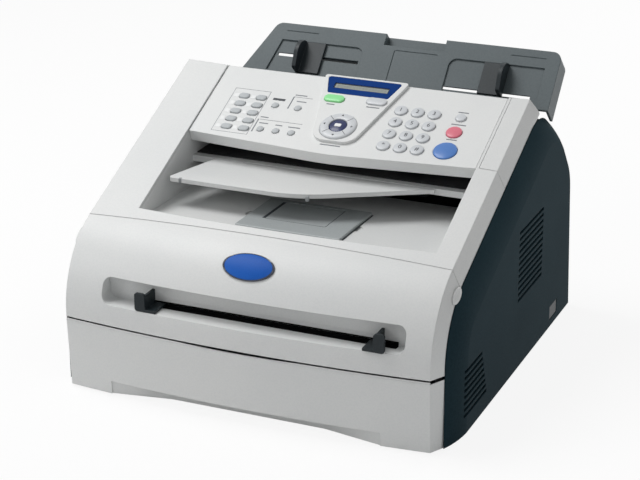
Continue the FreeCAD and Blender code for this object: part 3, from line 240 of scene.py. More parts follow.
green_key = glossy("green_key", linear(150, 232, 158), linear(134, 222, 146))
red_key = glossy("red_key", linear(224, 122, 138), linear(212, 108, 126))
blue_key = glossy("blue_key", linear(84, 130, 198), linear(72, 118, 188))
bezel_blue = glossy("bezel_blue", linear(26, 62, 128), linear(20, 52, 114), 0.5, 0.0, 0.02)
badge_blue = glossy("badge_blue", linear(30, 98, 190), linear(24, 84, 172), 0.42, 0.0, 0.12)
navy_key = glossy("navy_key", linear(34, 46, 92), linear(28, 38, 80), 0.28)
badge_rim = glossy("badge_rim", linear(38, 44, 60), linear(60, 66, 84), 0.2, 0.4)
rubber_key = moulded("rubber_key", linear(190, 194, 196), linear(176, 181, 184), 0.6, 2000.0, 0.00006)
label_white = moulded("label_white", linear(240, 241, 241), linear(232, 234, 234), 0.5, 3000.0, 0.00002)
# This finish colours printed digits, arrows and lines, and also the dark bars that paint the shade in the
# ring's grooves and round the flaps.
ink_and_painted_shade = moulded("ink_and_painted_shade", linear(44, 48, 54), linear(58, 62, 68), 0.6, 3000.0, 0.00002)
print_grey = moulded("print_grey", linear(120, 124, 130), linear(138, 142, 147), 0.6, 3000.0, 0.00002)
clip_grey = moulded("clip_grey", linear(150, 154, 156), linear(138, 142, 144), 0.5, 2000.0, 0.00004)
cell_grey = moulded("cell_grey", linear(128, 134, 128), linear(138, 144, 138), 0.4, 3000.0, 0.00002)


def rubber(name):
    paint = Paint(name)
    place = paint.place()
    grit = paint.noise(900.0, detail=3.0, rough=0.6, place=place)
    dust = paint.ramp(paint.noise(40.0, detail=4.0, rough=0.6, place=place), 0.5, 0.75)
    tint = paint.mix(dust * 0.35, linear(34, 34, 35), linear(62, 61, 59))
    return paint.finish(Base_Color=tint, Roughness=0.78 + dust * 0.12, Normal=paint.bump(grit, 0.4, 0.0002))


def pressed_steel(name):
    paint = Paint(name)
    place = paint.place()
    along = paint.node("ShaderNodeMapping", {}, {"Vector": place, "Scale": (4.0, 900.0, 900.0)})
    brushed = paint.noise(1.0, detail=3.0, rough=0.6, place=along)
    tint = paint.mix(brushed, linear(176, 178, 180), linear(204, 206, 208))
    return paint.finish(Base_Color=tint, Metallic=1.0, Roughness=0.28 + brushed * 0.2,
                        Normal=paint.bump(brushed, 0.15, 0.00005))


def circuit_board(name):
    paint = Paint(name)
    place = paint.place()
    cells = paint.node("ShaderNodeTexVoronoi", {"feature": "DISTANCE_TO_EDGE"},
                       {"Vector": place, "Scale": 160.0})
    tracks = 1.0 - paint.ramp(cells, 0.02, 0.06)
    tint = paint.mix(tracks, linear(28, 92, 52), linear(72, 138, 84))
    return paint.finish(Base_Color=tint, Roughness=0.4 - tracks * 0.1, Normal=paint.bump(tracks, 0.3, 0.0001))


def display_glass(name):
    paint = Paint(name)
    place = paint.place()
    columns = paint.node("ShaderNodeTexWave", {"bands_direction": "X"}, {"Vector": place, "Scale": 180.0})
    haze = paint.noise(60.0, detail=2.0, rough=0.5, place=place)
    tint = paint.mix(columns * 0.25 + haze * 0.3, linear(158, 163, 156), linear(132, 138, 132))
    return paint.finish(Base_Color=tint, Roughness=0.12 + haze * 0.05, Coat_Weight=0.5)


black_rubber = rubber("black_rubber")
lift_steel = pressed_steel("lift_steel")
board_green = circuit_board("board_green")
display_grey = display_glass("display_grey")
print("special finishes:", black_rubber.name, lift_steel.name, board_green.name, display_grey.name)

# %% [markdown]
# ## Each solid gets its finish
#
# The solids keep their shapes. Their edges are sharp in the drawing, and a real moulding has a small
# round there that catches the light. A Bevel modifier would need clean joined faces, and the solids are
# loose triangles, so the finish does it: its Bevel node turns the normal smoothly across an edge.

# %% Finishes
FINISHES = {
    light_shell: ["upper_case", "front_cover", "paper_tray", "document_support", "right_arm_cap"],
    light_panel: ["control_panel"],
    dark_shell: ["left_side_cover", "right_side_cover", "rear_cover", "back_door"],
    tray_grey: ["document_tray"],
    flap_grey: ["output_flap", "flap_extension"],
    guide_black: ["document_guide_left", "document_guide_right", "feed_guide_left", "feed_guide_right",
                  "tray_guide_left", "tray_guide_right", "guide_pinion", "power_switch", "power_inlet",
                  "line_jacks"],
    inner_black: ["base_frame", "scan_unit", "toner_cartridge", "drum_unit", "laser_unit", "fuser_unit"],
    key_grey: ["soft_keys", "nav_ring", "options_key", "copy_key"]
              + [label for label in nodes if label.startswith("key_")],
    navy_key: ["nav_key"], green_key: ["fax_key"], red_key: ["stop_key"], blue_key: ["start_key"],
    bezel_blue: ["display_bezel"], badge_blue: ["badge"], display_grey: ["lcd_screen"],
    black_rubber: ["rubber_feet", "pickup_roller", "document_roller", "exit_roller"],
    lift_steel: ["lift_plate"], board_green: ["main_board", "power_supply"],
}


def finish_solid(solid, material):
    solid.data.materials.clear()
    solid.data.materials.append(material)


for material, labels in FINISHES.items():
    for label in labels:
        finish_solid(nodes[label], material)
bare = [label for label in nodes if not any(label in labels for labels in FINISHES.values())]
print("finished solids:", len(nodes) - len(bare), "bare:", bare)

# %% [markdown]
# ## Where the keys are
#
# The keypad lies on a plane that leans back by 24 degrees. The places of the keys could be typed in
# again, but then they would go wrong when the drawing changes. The plane is read from the solids instead:
# turned back by the same angle, a key's box gives its middle, its foot and its top. All pieces on the
# keypad are then modelled flat, around their own middle, and turned into place at the end.

# %% Axes of the keypad
SLOPE = math.radians(24.0)
lean = Matrix.Rotation(SLOPE, 4, "X")
UNMOVED = Matrix.Identity(4)
STAR_AT = Vector((0.0556, 0.013, 0.0))
KEY_RISE = 0.002


def leaning_box(label):
    """Lowest and highest corner of a solid, in axes that lean with the keypad."""
    upright = lean.inverted()
    points = [upright @ vertex.co for vertex in nodes[label].data.vertices]
    low = Vector([min(point[axis] for point in points) for axis in range(3)])
    high = Vector([max(point[axis] for point in points) for axis in range(3)])
    return low, high


star_low, star_high = leaning_box("key_star")
star_middle = (star_low + star_high) / 2
keypad_corner = Vector((star_middle.x, star_middle.y, star_high.z - KEY_RISE)) - STAR_AT
print("keypad corner:", [round(x, 4) for x in keypad_corner])


def on_keypad(across, up, rise=0.0):
    """Place on the keypad, in millimetres across and up it, as a matrix that leans."""
    offset = Vector((across, up, rise)) / 1000
    return lean @ Matrix.Translation(keypad_corner + offset)


# %% [markdown]
# ## From a bmesh to a piece
#
# Every new piece goes the same way: doubles are merged, the faces are turned outwards, the mesh is moved
# into place, and the object stays at the origin. The object itself could be moved, but the finishes read
# object coordinates, and the grain would then turn with it. The piece rides on the body that carries it,
# so it moves with the joint. Faces are shaded smooth except across edges sharper than 40 degrees.

# %% Helpers that close a piece
CLOSE, SHARP = 1e-6, math.radians(40)


def put(name, shape, place, material, body):
    bmesh.ops.remove_doubles(shape, verts=shape.verts, dist=CLOSE)
    bmesh.ops.recalc_face_normals(shape, faces=shape.faces)
    bmesh.ops.transform(shape, matrix=place, verts=shape.verts)
    data = bpy.data.meshes.new(name)
    shape.to_mesh(data)
    shape.free()
    data.shade_smooth()
    data.set_sharp_from_angle(angle=SHARP)
    data.materials.append(material)
    piece = bpy.data.objects.new(name, data)
    bpy.context.scene.collection.objects.link(piece)
    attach(piece, body)
    return piece


def turned_shape(profile, steps=48):
    """Spins a chain of (radius, height) points, in millimetres, about the upright axis."""
    shape = bmesh.new()
    points = [shape.verts.new((radius / 1000, 0.0, height / 1000)) for radius, height in profile]
    edges = [shape.edges.new(pair) for pair in zip(points, points[1:])]
    bmesh.ops.spin(shape, geom=points + edges, cent=(0, 0, 0), axis=(0, 0, 1), angle=math.tau, steps=steps,
                   use_merge=True)
    return shape


def flat_bar(width, height, thick=0.06):
    """A bar in millimetres, lying flat around its own middle; thin unless a thickness is given."""
    shape = bmesh.new()
    size = Matrix.Diagonal((width / 1000, height / 1000, thick / 1000, 1.0))
    bmesh.ops.create_cube(shape, size=1.0, matrix=size)
    return shape


def joined(shapes):
    """One bmesh of several, each with the matrix that places it."""
    whole = bmesh.new()
    for shape, place in shapes:
        bmesh.ops.transform(shape, matrix=place, verts=shape.verts)
        part = bpy.data.meshes.new("part")
        shape.to_mesh(part)
        shape.free()
        whole.from_mesh(part)
        bpy.data.meshes.remove(part)
    return whole


print("piece helpers ready")

# %% [markdown]
# ## Key caps
#
# A real key cap is a little crowned: the finger feels its middle, and the shoulder catches a thin line of
# light. A bevelled cylinder would have the shoulder but a flat top. A turned profile gives both. The two
# mode keys are long, so their halves are drawn apart after the turn. Each cap takes the place of the
# plain solid and rides on that key's own body.

# %% Profile of a cap
CROWN_CURVE, SHOULDER_STEPS = [(0.0, 0.0), (0.45, 0.2), (0.8, 0.62), (1.0, 1.0)], 3


def cap_profile(radius, foot, rise, crown, shoulder):
    """Side of a cap from its middle outwards: a crown that falls off, a round shoulder, a straight wall."""
    inner = radius - shoulder
    profile = [(inner * share, rise - crown * fall) for share, fall in CROWN_CURVE]
    for step in range(1, SHOULDER_STEPS + 1):
        angle = math.pi / 2 * step / SHOULDER_STEPS
        profile.append((inner + shoulder * math.sin(angle), rise - crown - shoulder * (1 - math.cos(angle))))
    return profile + [(radius, foot), (0.0, foot)]


def drawn_apart(shape, half):
    """Moves both halves of a turned cap outwards, which makes it long."""
    for sign in (-1, 1):
        side = [vertex for vertex in shape.verts if vertex.co.x * sign > CLOSE]
        bmesh.ops.translate(shape, verts=side, vec=(sign * half, 0.0, 0.0))
    return shape


def key_cap(label, material, crown=0.35, shoulder=0.7):
    low, high = leaning_box(label)
    middle, half = (low + high) / 2, (high - low) / 2 * 1000
    shape = turned_shape(cap_profile(half.y, -half.z, half.z, crown, shoulder))
    drawn_apart(shape, max(0.0, half.x - half.y) / 1000)
    cap = put(label + "_cap", shape, lean @ Matrix.Translation(middle), material, label)
    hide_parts(label)


digit_labels = [label for label in nodes if label.startswith("key_")]
grey_labels = digit_labels + ["options_key", "copy_key"]
for label in grey_labels:
    key_cap(label, key_grey)
key_cap("fax_key", green_key)
key_cap("stop_key", red_key, crown=0.6)
key_cap("start_key", blue_key, crown=0.9, shoulder=0.9)
print("grey caps:", len(grey_labels), "and a green, a red and a blue one")

# %% [markdown]
# ## Rubber keys on the left
#
# Ten one-touch keys and five small ones are bumps of one rubber mat that comes up through the keypad.
# They could be fifteen objects, but the mat is one moulding, so they are crowned caps in one piece, which
# rides on the control panel. The one-touch keys are drawn apart to ovals like the mode keys.

# %% The rubber mat's bumps
ONE_TOUCH = [(-101.5 + 17.6 * column, 12 + 11 * row) for column in range(2) for row in range(5)]
SMALL = [(-67.6, 14), (-51.9, 14), (-36.2, 14), (-66.3, 48), (-43.1, 48)]
BUMP_RADIUS, BUMP_FOOT, BUMP_RISE, BUMP_CROWN, BUMP_SHOULDER = 3.4, -2.0, 1.75, 0.5, 0.6
ONE_TOUCH_APART, BUMP_STEPS = 0.0018, 32
bump_side = cap_profile(BUMP_RADIUS, BUMP_FOOT, BUMP_RISE, BUMP_CROWN, BUMP_SHOULDER)
bumps = []
for across, up in ONE_TOUCH:
    bumps.append((drawn_apart(turned_shape(bump_side, BUMP_STEPS), ONE_TOUCH_APART), on_keypad(across, up)))
for across, up in SMALL:
    bumps.append((turned_shape(bump_side, BUMP_STEPS), on_keypad(across, up)))
mat = put("soft_key_caps", joined(bumps), UNMOVED, rubber_key, "control_panel")
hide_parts("soft_keys")
print("rubber keys:", len(bumps))

# %% [markdown]
# ## Printing on the keypad
#
# The digits are printed on the caps, thin lines group the keys, and short grey bars stand by the smaller
# keys. A picture could hold all this, but it would blur close up, so each mark is a very thin mesh. Type
# starts as a text object, becomes a mesh, and only then takes its place, because a finished piece has no
# turn of its own.

# %% Digits
INK_LIFT, INK_HALF, DIGIT_TALL = 0.00003, 0.00003, 6.4
DIGITS = {"key_star": "*", "key_hash": "#"}
DIGITS.update({"key_%d" % number: str(number) for number in range(10)})


def printed(name, words, height, place, material, body):
    """Type as a thin mesh around its own middle, then set in place."""
    type_curve = bpy.data.curves.new(name + "_type", "FONT")
    type_curve.body = words
    type_curve.size = height / 1000
    type_curve.align_x = "CENTER"
    type_curve.align_y = "CENTER"
    type_curve.extrude = INK_HALF
    holder = bpy.data.objects.new(name + "_type", type_curve)
    data = bpy.data.meshes.new_from_object(holder)
    bpy.data.objects.remove(holder)
    shape = bmesh.new()
    shape.from_mesh(data)
    bpy.data.meshes.remove(data)
    return put(name, shape, place, material, body)


for label, words in DIGITS.items():
    low, high = leaning_box(label)
    middle = (low + high) / 2
    top = Matrix.Translation((middle.x, middle.y, high.z + INK_LIFT))
    printed(label + "_digit", words, DIGIT_TALL, lean @ top, ink_and_painted_shade, label)
print("digits:", len(DIGITS))

# %% [markdown]
# The lines are thin boxes that lie on the keypad, given by left, right, low and high in millimetres. A
# frame of four closes off the one-touch keys, and each of those keys has a white field beside it. A curve
# with a bevel could draw them too, but they are all straight, so boxes are enough.

# %% Lines and label fields
PRINT_RISE = 0.02
KEY_FRAME, LINE = (-114.7, -77.5, 4.5, 66.0), 0.45
GROUP_LINES = [(-73.5, -30.0, 27.0, 27.5), (-75.4, -74.2, 9.5, 27.5),
               (-52.0, -34.0, 63.0, 63.5), (-53.4, -52.2, 46.0, 63.5)]
FIELD_FROM, FIELD_TO, FIELD_HALF = -11.4, -6.2, 2.7


def line_between(left, right, low, high):
    """A printed bar between two corners on the keypad, in millimetres."""
    middle = on_keypad((left + right) / 2, (low + high) / 2, PRINT_RISE)
    return flat_bar(right - left, high - low), middle


left, right, low, high = KEY_FRAME
lines = [line_between(left, right, low, low + LINE), line_between(left, right, high - LINE, high),
         line_between(left, left + LINE, low, high), line_between(right - LINE, right, low, high)]
lines += [line_between(*corners) for corners in GROUP_LINES]
put("keypad_lines", joined(lines), UNMOVED, print_grey, "control_panel")
fields = [line_between(across + FIELD_FROM, across + FIELD_TO, up - FIELD_HALF, up + FIELD_HALF)
          for across, up in ONE_TOUCH]
put("name_fields", joined(fields), UNMOVED, label_white, "control_panel")
print("lines:", len(lines), "fields:", len(fields))

# %% [markdown]
# Each bar is listed by its place across and up the keypad, the rise of the face it lies on, and its
# width, all in millimetres. Two bars lie on the pod round the display, which stands higher than the
# keypad.

# %% Grey bars by the keys
BAR_TALL = 1.3
FUNCTION_PLATE = (-72.0, -59.5, 55.4, 58.4)
BARS = [(-67.6, 22.4, 0.0, 9), (-51.9, 22.0, 0.0, 7), (-36.2, 21.6, 0.0, 12), (-70.0, 30.6, 0.0, 8),
        (-43.1, 57.4, 0.0, 10), (-46.5, 66.0, 0.0, 12), (114.5, 32.4, 0.0, 10), (114.5, 53.0, 0.0, 14),
        (113.8, 69.8, 0.0, 10)]
POD_RISE = 3.0
POD_BARS = [(-12.5, 56.2, POD_RISE, 8), (29.0, 58.6, POD_RISE, 13), (6.3, 4.8, 0.0, 20)]


def small_bars(rows):
    return [(flat_bar(width, BAR_TALL), on_keypad(across, up, rise + PRINT_RISE))
            for across, up, rise, width in rows]


bars, pod_bars = small_bars(BARS), small_bars(POD_BARS)
put("print_bars", joined(bars), UNMOVED, print_grey, "control_panel")
put("function_plate", joined([line_between(*FUNCTION_PLATE)]), UNMOVED, ink_and_painted_shade, "control_panel")
put("pod_bars", joined(pod_bars), UNMOVED, print_grey, "control_panel")
print("bars:", len(bars) + len(pod_bars))

# %% [markdown]
# ## Navigation ring
#
# The ring is one sprung moulding round a centre key. A torus would be round all over, and this ring has a
# broad, nearly flat top and straight walls. So its profile is drawn as a closed loop and turned. Four
# grooves part it into quarters, and an arrow is printed on each quarter.

# %% Ring
low, high = leaning_box("nav_ring")
ring_middle, ring_half = (low + high) / 2, (high - low) / 2 * 1000
RING, BORE, RING_STEPS = ring_half.x, 8.7, 64
top, foot = ring_half.z, -ring_half.z
ring_profile = [(BORE, foot), (BORE, top - 0.9), (BORE + 0.25, top - 0.35), (BORE + 0.9, top - 0.1),
                (BORE + 3.5, top), (RING - 2.6, top - 0.1), (RING - 1.0, top - 0.45), (RING - 0.3, top - 1.0),
                (RING, top - 1.8), (RING, foot), (BORE, foot)]
ring_place = lean @ Matrix.Translation(ring_middle)
ring_shape = turned_shape(ring_profile, RING_STEPS)
ring = put("nav_ring_top", ring_shape, ring_place, key_grey, "nav_ring")
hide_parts("nav_ring")
print("ring:", round(2 * RING, 1), "mm across")

# %% [markdown]
# The grooves are hair lines. Cutting them would split the turned faces, so the shade in them is painted as
# thin dark bars halfway between the arrows. The arrows are three-sided discs. The centre key is a cap like
# the others, with a small white sign whose upright edges are rounded.

# %% Painted groove shade, arrows and centre key
GROOVE, GROOVE_SHORT, GROOVE_IN, GROOVE_LIFT = 0.45, 2.2, 1.4, 0.005
ARROW, ARROW_REACH, ARROW_THICK, ARROW_LIFT = 0.0014, 0.0134, 0.00008, 0.02
SIGN_WIDE, SIGN_TALL, SIGN_ROUND, SIGN_LIFT = 6.4, 4.2, 0.001, 0.00002
marks = []
for quarter in range(4):
    spun = Matrix.Rotation(math.pi / 2 * quarter, 4, "Z")
    split = Matrix.Rotation(math.pi / 4, 4, "Z") @ spun
    # Painted shade: a thin dark bar where the shade falls in each groove.
    groove_shade = Matrix.Translation((0.0, (BORE + RING - GROOVE_IN) / 2000, (top + GROOVE_LIFT) / 1000))
    marks.append((flat_bar(GROOVE, RING - BORE - GROOVE_SHORT), ring_place @ split @ groove_shade))
    arrow = bmesh.new()
    bmesh.ops.create_cone(arrow, cap_ends=True, segments=3, radius1=ARROW, radius2=ARROW, depth=ARROW_THICK)
    reach = Matrix.Translation((0.0, ARROW_REACH, (top + ARROW_LIFT) / 1000))
    marks.append((arrow, ring_place @ spun @ reach))
put("nav_ring_arrows_and_groove_shade", joined(marks), UNMOVED, ink_and_painted_shade, "nav_ring")

key_cap("nav_key", navy_key, crown=0.9, shoulder=0.9)
low, high = leaning_box("nav_key")
middle = (low + high) / 2
sign_place = lean @ Matrix.Translation((middle.x, middle.y, high.z + SIGN_LIFT))
key_sign = flat_bar(SIGN_WIDE, SIGN_TALL)
upright_edges = [edge for edge in key_sign.edges if abs(edge.verts[0].co.z - edge.verts[1].co.z) > CLOSE]
bmesh.ops.bevel(key_sign, geom=upright_edges, offset=SIGN_ROUND, segments=5, profile=0.5, affect="EDGES",
                material=-1)
put("nav_key_sign", key_sign, sign_place, label_white, "nav_key")
print("ring marks:", len(marks))

# %% [markdown]
# ## Badge
#
# The oval badge is a blue dome in a dark rim, and it follows the round nose of the cover. A Shrinkwrap
# modifier could lay it there, but it would also take on the facets of the solid. Instead it is turned as
# a round lens, stretched to an oval, and then wrapped: its height on the flat lens becomes a height above
# the nose, and its length up the slope becomes an angle round it.

# %% A lens wrapped on the nose
NOSE_RADIUS, NOSE_BASE, NOSE_LEAD = 0.084, 0.075, 0.003
FRONT_BOW, CREASE_HALF, CREASE = 0.0094, 0.174, -0.1696
BADGE_SIDE, BADGE_TILT = -0.0005, math.radians(41.0)
BADGE_WIDE, BADGE_TALL, BADGE_FOOT, BADGE_STEPS = 24.4, 13.2, 0.05, 72
LENS_HALF, LENS_RISE, LENS_DROP, LENS_CURVE = BADGE_TALL - 1.05, 2.5, 1.1, 2.6


def on_nose(point):
    """A flat point (across, up, out) moved onto the bowed round nose."""
    angle = BADGE_TILT - point.y / NOSE_RADIUS
    reach = NOSE_RADIUS + point.z
    across = BADGE_SIDE + point.x
    bow = FRONT_BOW * (1 - (across / CREASE_HALF) ** 2)
    along = CREASE - NOSE_LEAD + NOSE_RADIUS - reach * math.sin(angle) - bow
    return Vector((across, along, NOSE_BASE + reach * math.cos(angle)))


def oval_on_nose(name, profile, material):
    shape = turned_shape(profile, BADGE_STEPS)
    bmesh.ops.scale(shape, vec=(BADGE_WIDE / BADGE_TALL, 1.0, 1.0), verts=shape.verts)
    for vertex in shape.verts:
        vertex.co = on_nose(vertex.co)
    return put(name, shape, UNMOVED, material, "front_cover")


rim = [(BADGE_TALL, BADGE_FOOT), (BADGE_TALL, 1.1), (BADGE_TALL - 0.25, 1.5), (BADGE_TALL - 0.8, 1.6),
       (BADGE_TALL - 1.0, 1.3), (BADGE_TALL - 1.0, BADGE_FOOT), (BADGE_TALL, BADGE_FOOT)]
dome = [(share * LENS_HALF, LENS_RISE - LENS_DROP * share ** LENS_CURVE)
        for share in (0.0, 0.25, 0.5, 0.7, 0.85, 0.95, 1.0)]
dome += [(LENS_HALF, BADGE_FOOT), (0.0, BADGE_FOOT)]
oval_on_nose("badge_rim", rim, badge_rim)
lens_piece = oval_on_nose("badge_lens", dome, badge_blue)
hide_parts("badge")
print("badge:", 2 * BADGE_WIDE, "x", 2 * BADGE_TALL, "mm")

# %% [markdown]
# ## Lip of the paper tray
#
# The tray's front ends in a thin lip under the cover, so the seam looks narrow. When the cover swings
# down, its lower edge dips just behind that lip, so the lip slants on its inner side and leaves the edge
# room. In the middle the open cover's face comes down lowest, so the lip is lower there. A cut with the
# swept cover would give that shape with ragged faces. Instead a bar along the tray is cut into short
# lengths, and every point is lowered to that room and moved forward by the bow of the front.

# %% A slanted lip along the bowed front
LIP_LOW, LIP_HIGH, LIP_DEEP = 67.9, 69.5, 1.9
HINGE_HIGH, HINGE_LEAD, COVER_SWING = 0.074, 0.006, math.radians(78.0)
LIP_ROOM, LIP_SLANT, LIP_CUTS = 0.0002, 0.0015, 47


def upright_box(left, right, front, back, low, high):
    """A box between two corners, in millimetres, already in place."""
    shape = bmesh.new()
    size = Matrix.Diagonal(((right - left) / 1000, (back - front) / 1000, (high - low) / 1000, 1.0))
    middle = Matrix.Translation(Vector((left + right, front + back, low + high)) / 2000)
    bmesh.ops.create_cube(shape, size=1.0, matrix=middle @ size)
    return shape


lip_front = (CREASE - NOSE_LEAD) * 1000
lip = upright_box(-1000 * CREASE_HALF, 1000 * CREASE_HALF, lip_front, lip_front + LIP_DEEP, LIP_LOW, LIP_HIGH)
lip_middle = Vector((lip_front + LIP_DEEP / 2, (LIP_LOW + LIP_HIGH) / 2)) / 1000
inner_top = [vertex for vertex in lip.verts if vertex.co.y > lip_middle.x and vertex.co.z > lip_middle.y]
bmesh.ops.translate(lip, verts=inner_top, vec=(0.0, -LIP_SLANT, 0.0))
lengths = [edge for edge in lip.edges if abs(edge.verts[0].co.x - edge.verts[1].co.x) > CREASE_HALF]
bmesh.ops.subdivide_edges(lip, edges=lengths, cuts=LIP_CUTS, use_grid_fill=True)
for vertex in lip.verts:
    bow = FRONT_BOW * (1 - (vertex.co.x / CREASE_HALF) ** 2)
    room = HINGE_HIGH - (bow + NOSE_LEAD - HINGE_LEAD) * math.tan(COVER_SWING / 2) - LIP_ROOM
    vertex.co.z = min(vertex.co.z, max(room, LIP_LOW / 1000))
    vertex.co.y -= bow
put("tray_lip", lip, UNMOVED, light_shell, "paper_tray")
print("lip:", round(2000 * CREASE_HALF), "mm long")

# %% [markdown]
# ## Slot of the manual feed
#
# Sheets go in through a low slot at the foot of the recess. The shade inside the slot is painted as a thin
# black sheet on the floor in front of it, so the slot looks black down to the floor, and a light strip closes
# its upper part. The cover's own opening stays as it is drawn, so both are thin bars set into it, and they
# leave the sliding guides room.

# %% Painted slot shade and slot strip
SLOT_LEFT, SLOT_RIGHT, SLOT_WALL = -106.0, 140.0, CREASE * 1000 + 12.0
FEED_FLOOR, SLOT_FOOT, SLOT_OPEN, SLOT_TOP = 90.5, 92.0, 94.4, 97.6
SHADE_DEEP, SHADE_THICK, SHADE_REACH, STRIP_REACH = 6.0, 0.12, 1.9, 1.8
slot_span = (SLOT_LEFT, SLOT_RIGHT)
# Painted shade: two thin black bars in front of the slot stand in for the shade inside it.
flat_slot_shade = upright_box(*slot_span, SLOT_WALL - SHADE_DEEP, SLOT_WALL, FEED_FLOOR, FEED_FLOOR + SHADE_THICK)
sill_slot_shade = upright_box(*slot_span, SLOT_WALL - SHADE_THICK, SLOT_WALL + SHADE_REACH, FEED_FLOOR,
                         SLOT_FOOT + SHADE_THICK)
slot_shade_bars = joined([(flat_slot_shade, UNMOVED), (sill_slot_shade, UNMOVED)])
put("feed_slot_painted_shade", slot_shade_bars, UNMOVED, slot_painted_shade, "front_cover")
strip = upright_box(*slot_span, SLOT_WALL, SLOT_WALL + STRIP_REACH, SLOT_OPEN, SLOT_TOP)
put("feed_slot_strip", strip, UNMOVED, light_shell, "front_cover")
print("slot:", SLOT_RIGHT - SLOT_LEFT, "mm long")

# %% [markdown]
# ## Finger grips of the front cover
#
# On each end of the cover a small oval grip stands over the seam to the dark side, for the fingers that
# pull the cover down. A squeezed sphere would be too round at the rim, so it is a turned dome drawn out
# to an oval, held by a short root in the cover's slanted end. Three axes give its turn: along the seam,
# across it, and out of the slanted end. The left grip is mirrored.

# %% Two grips
GRIP_AT = Vector((0.18117, -0.13081, 0.13264))
GRIP_OUT, GRIP_SEAM = Vector((0.87, -0.33, 0.375)).normalized(), Vector((0.0, -0.837, -0.548))
GRIP_HALF, GRIP_STRETCH, GRIP_TALL, ROOT_AT = 4.4, 2.0, 1.9, 0.0027
GRIP_STEPS, ROOT_STEPS = 40, 24
grip_dome = [(0.0, GRIP_TALL), (1.6, 1.75), (2.9, 1.35), (3.8, 0.85), (GRIP_HALF, 0.3),
             (GRIP_HALF - 0.3, 0.2), (0.0, 0.2)]
grip_root = [(0.0, 0.6), (1.2, 0.6), (1.2, -1.0), (0.0, -1.0)]
grip_along = (GRIP_SEAM - GRIP_OUT * GRIP_SEAM.dot(GRIP_OUT)).normalized()
grip_across = GRIP_OUT.cross(grip_along)
grip_axes = Matrix((grip_along, grip_across, GRIP_OUT)).transposed().to_4x4()
inward = Matrix.Translation((0.0, math.copysign(ROOT_AT, -grip_across.y), 0.0))
for side, word in ((1, "right"), (-1, "left")):
    oval = turned_shape(grip_dome, GRIP_STEPS)
    bmesh.ops.scale(oval, vec=(GRIP_STRETCH, 1.0, 1.0), verts=oval.verts)
    place = Matrix.Diagonal((side, 1.0, 1.0, 1.0)) @ Matrix.Translation(GRIP_AT) @ grip_axes
    grip = joined([(oval, place), (turned_shape(grip_root, ROOT_STEPS), place @ inward)])
    put("cover_grip_" + word, grip, UNMOVED, light_shell, "front_cover")
print("grips:", round(2 * GRIP_HALF * GRIP_STRETCH, 1), "mm long")

# %% [markdown]
# ## Seams of the rear cover
#
# The rear cover meets each side cover in an upright seam. On a moulded case a tongue closes such a seam
# from inside, so no light comes through. It could follow every bend of the cover, but only a dark line of
# it shows, so it is a thin bar just under the surface. Its points are moved forward with their height,
# because the rear leans.

# %% Tongues behind the rear seams
TONGUE_SIDE, TONGUE_WIDE, TONGUE_HIGH = 176.6, 1.8, 120.0
TONGUE_LOW, TONGUE_OUTER, TONGUE_THICK, REAR_LEAN = 1.0, 181.3, 0.8, 0.09
tongues = []
for side in (-1, 1):
    left = side * TONGUE_SIDE - TONGUE_WIDE / 2
    tongue = upright_box(left, left + TONGUE_WIDE, TONGUE_OUTER - TONGUE_THICK, TONGUE_OUTER, TONGUE_LOW,
                         TONGUE_HIGH)
    for vertex in tongue.verts:
        vertex.co.y -= REAR_LEAN * vertex.co.z
    tongues.append((tongue, UNMOVED))
put("rear_seam_tongues", joined(tongues), UNMOVED, dark_shell, "machine")
print("tongues:", len(tongues))

# %% [markdown]
# ## Output flap
#
# The flap in the output tray carries a smaller flap. Between the two is a narrow gap, widest on the left
# where a finger lifts it, and a gap runs round the whole flap on the tray's floor. The solids aren't cut,
# so the shade in these gaps is painted as thin dark bars on top. They are listed by place and size on the
# leaning floor, in millimetres.

# %% Painted shade in the gaps round both flaps
flap_low, flap_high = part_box("output_flap")
small_low, small_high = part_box("flap_extension")
FLOOR_FALL, FLOOR_RUN, LINE_LIFT, FLAP_RISE = 3.6, 143.8, 0.00003, 0.00268
FINGER_GAP, THIN_GAP, THIN_AT, BED_GAP = 3.0, 0.6, 0.4, 1.5
floor_lean = math.atan(FLOOR_FALL / FLOOR_RUN)
flap_middle = (small_low + small_high) / 2
half_wide, half_long = (small_high - small_low).x * 500, (small_high - small_low).y * 500
drop = (flap_middle.y - flap_low.y) * math.tan(floor_lean)
flap_place = Matrix.Translation((flap_middle.x, flap_middle.y, flap_high.z - drop + LINE_LIFT))
flap_place = flap_place @ Matrix.Rotation(-floor_lean, 4, "X")
bed_place = flap_place @ Matrix.Translation((0.0, 0.0, -FLAP_RISE))


def lines_on(place, rows):
    return joined([(flat_bar(width, length), place @ Matrix.Translation((across / 1000, along / 1000, 0.0)))
                   for across, along, width, length in rows])


# Painted shade: dark bars where the shade falls in the gaps round the smaller flap.
GAP_SHADES = [(-half_wide - FINGER_GAP / 2, 0.0, FINGER_GAP, 2 * half_long),
        (half_wide + THIN_AT, 0.0, THIN_GAP, 2 * half_long),
        (0.0, -half_long - THIN_AT, 2 * half_wide, THIN_GAP)]
put("flap_gap_painted_shade", lines_on(flap_place, GAP_SHADES), UNMOVED, ink_and_painted_shade, "output_flap")

left_reach, right_reach = (flap_low.x - flap_middle.x) * 1000, (flap_high.x - flap_middle.x) * 1000
front_reach, rear_reach = (flap_low.y - flap_middle.y) * 1000, (flap_high.y - flap_middle.y) * 1000
bed_wide, bed_long = right_reach - left_reach, rear_reach - front_reach
bed_across, bed_along = (left_reach + right_reach) / 2, (front_reach + rear_reach) / 2
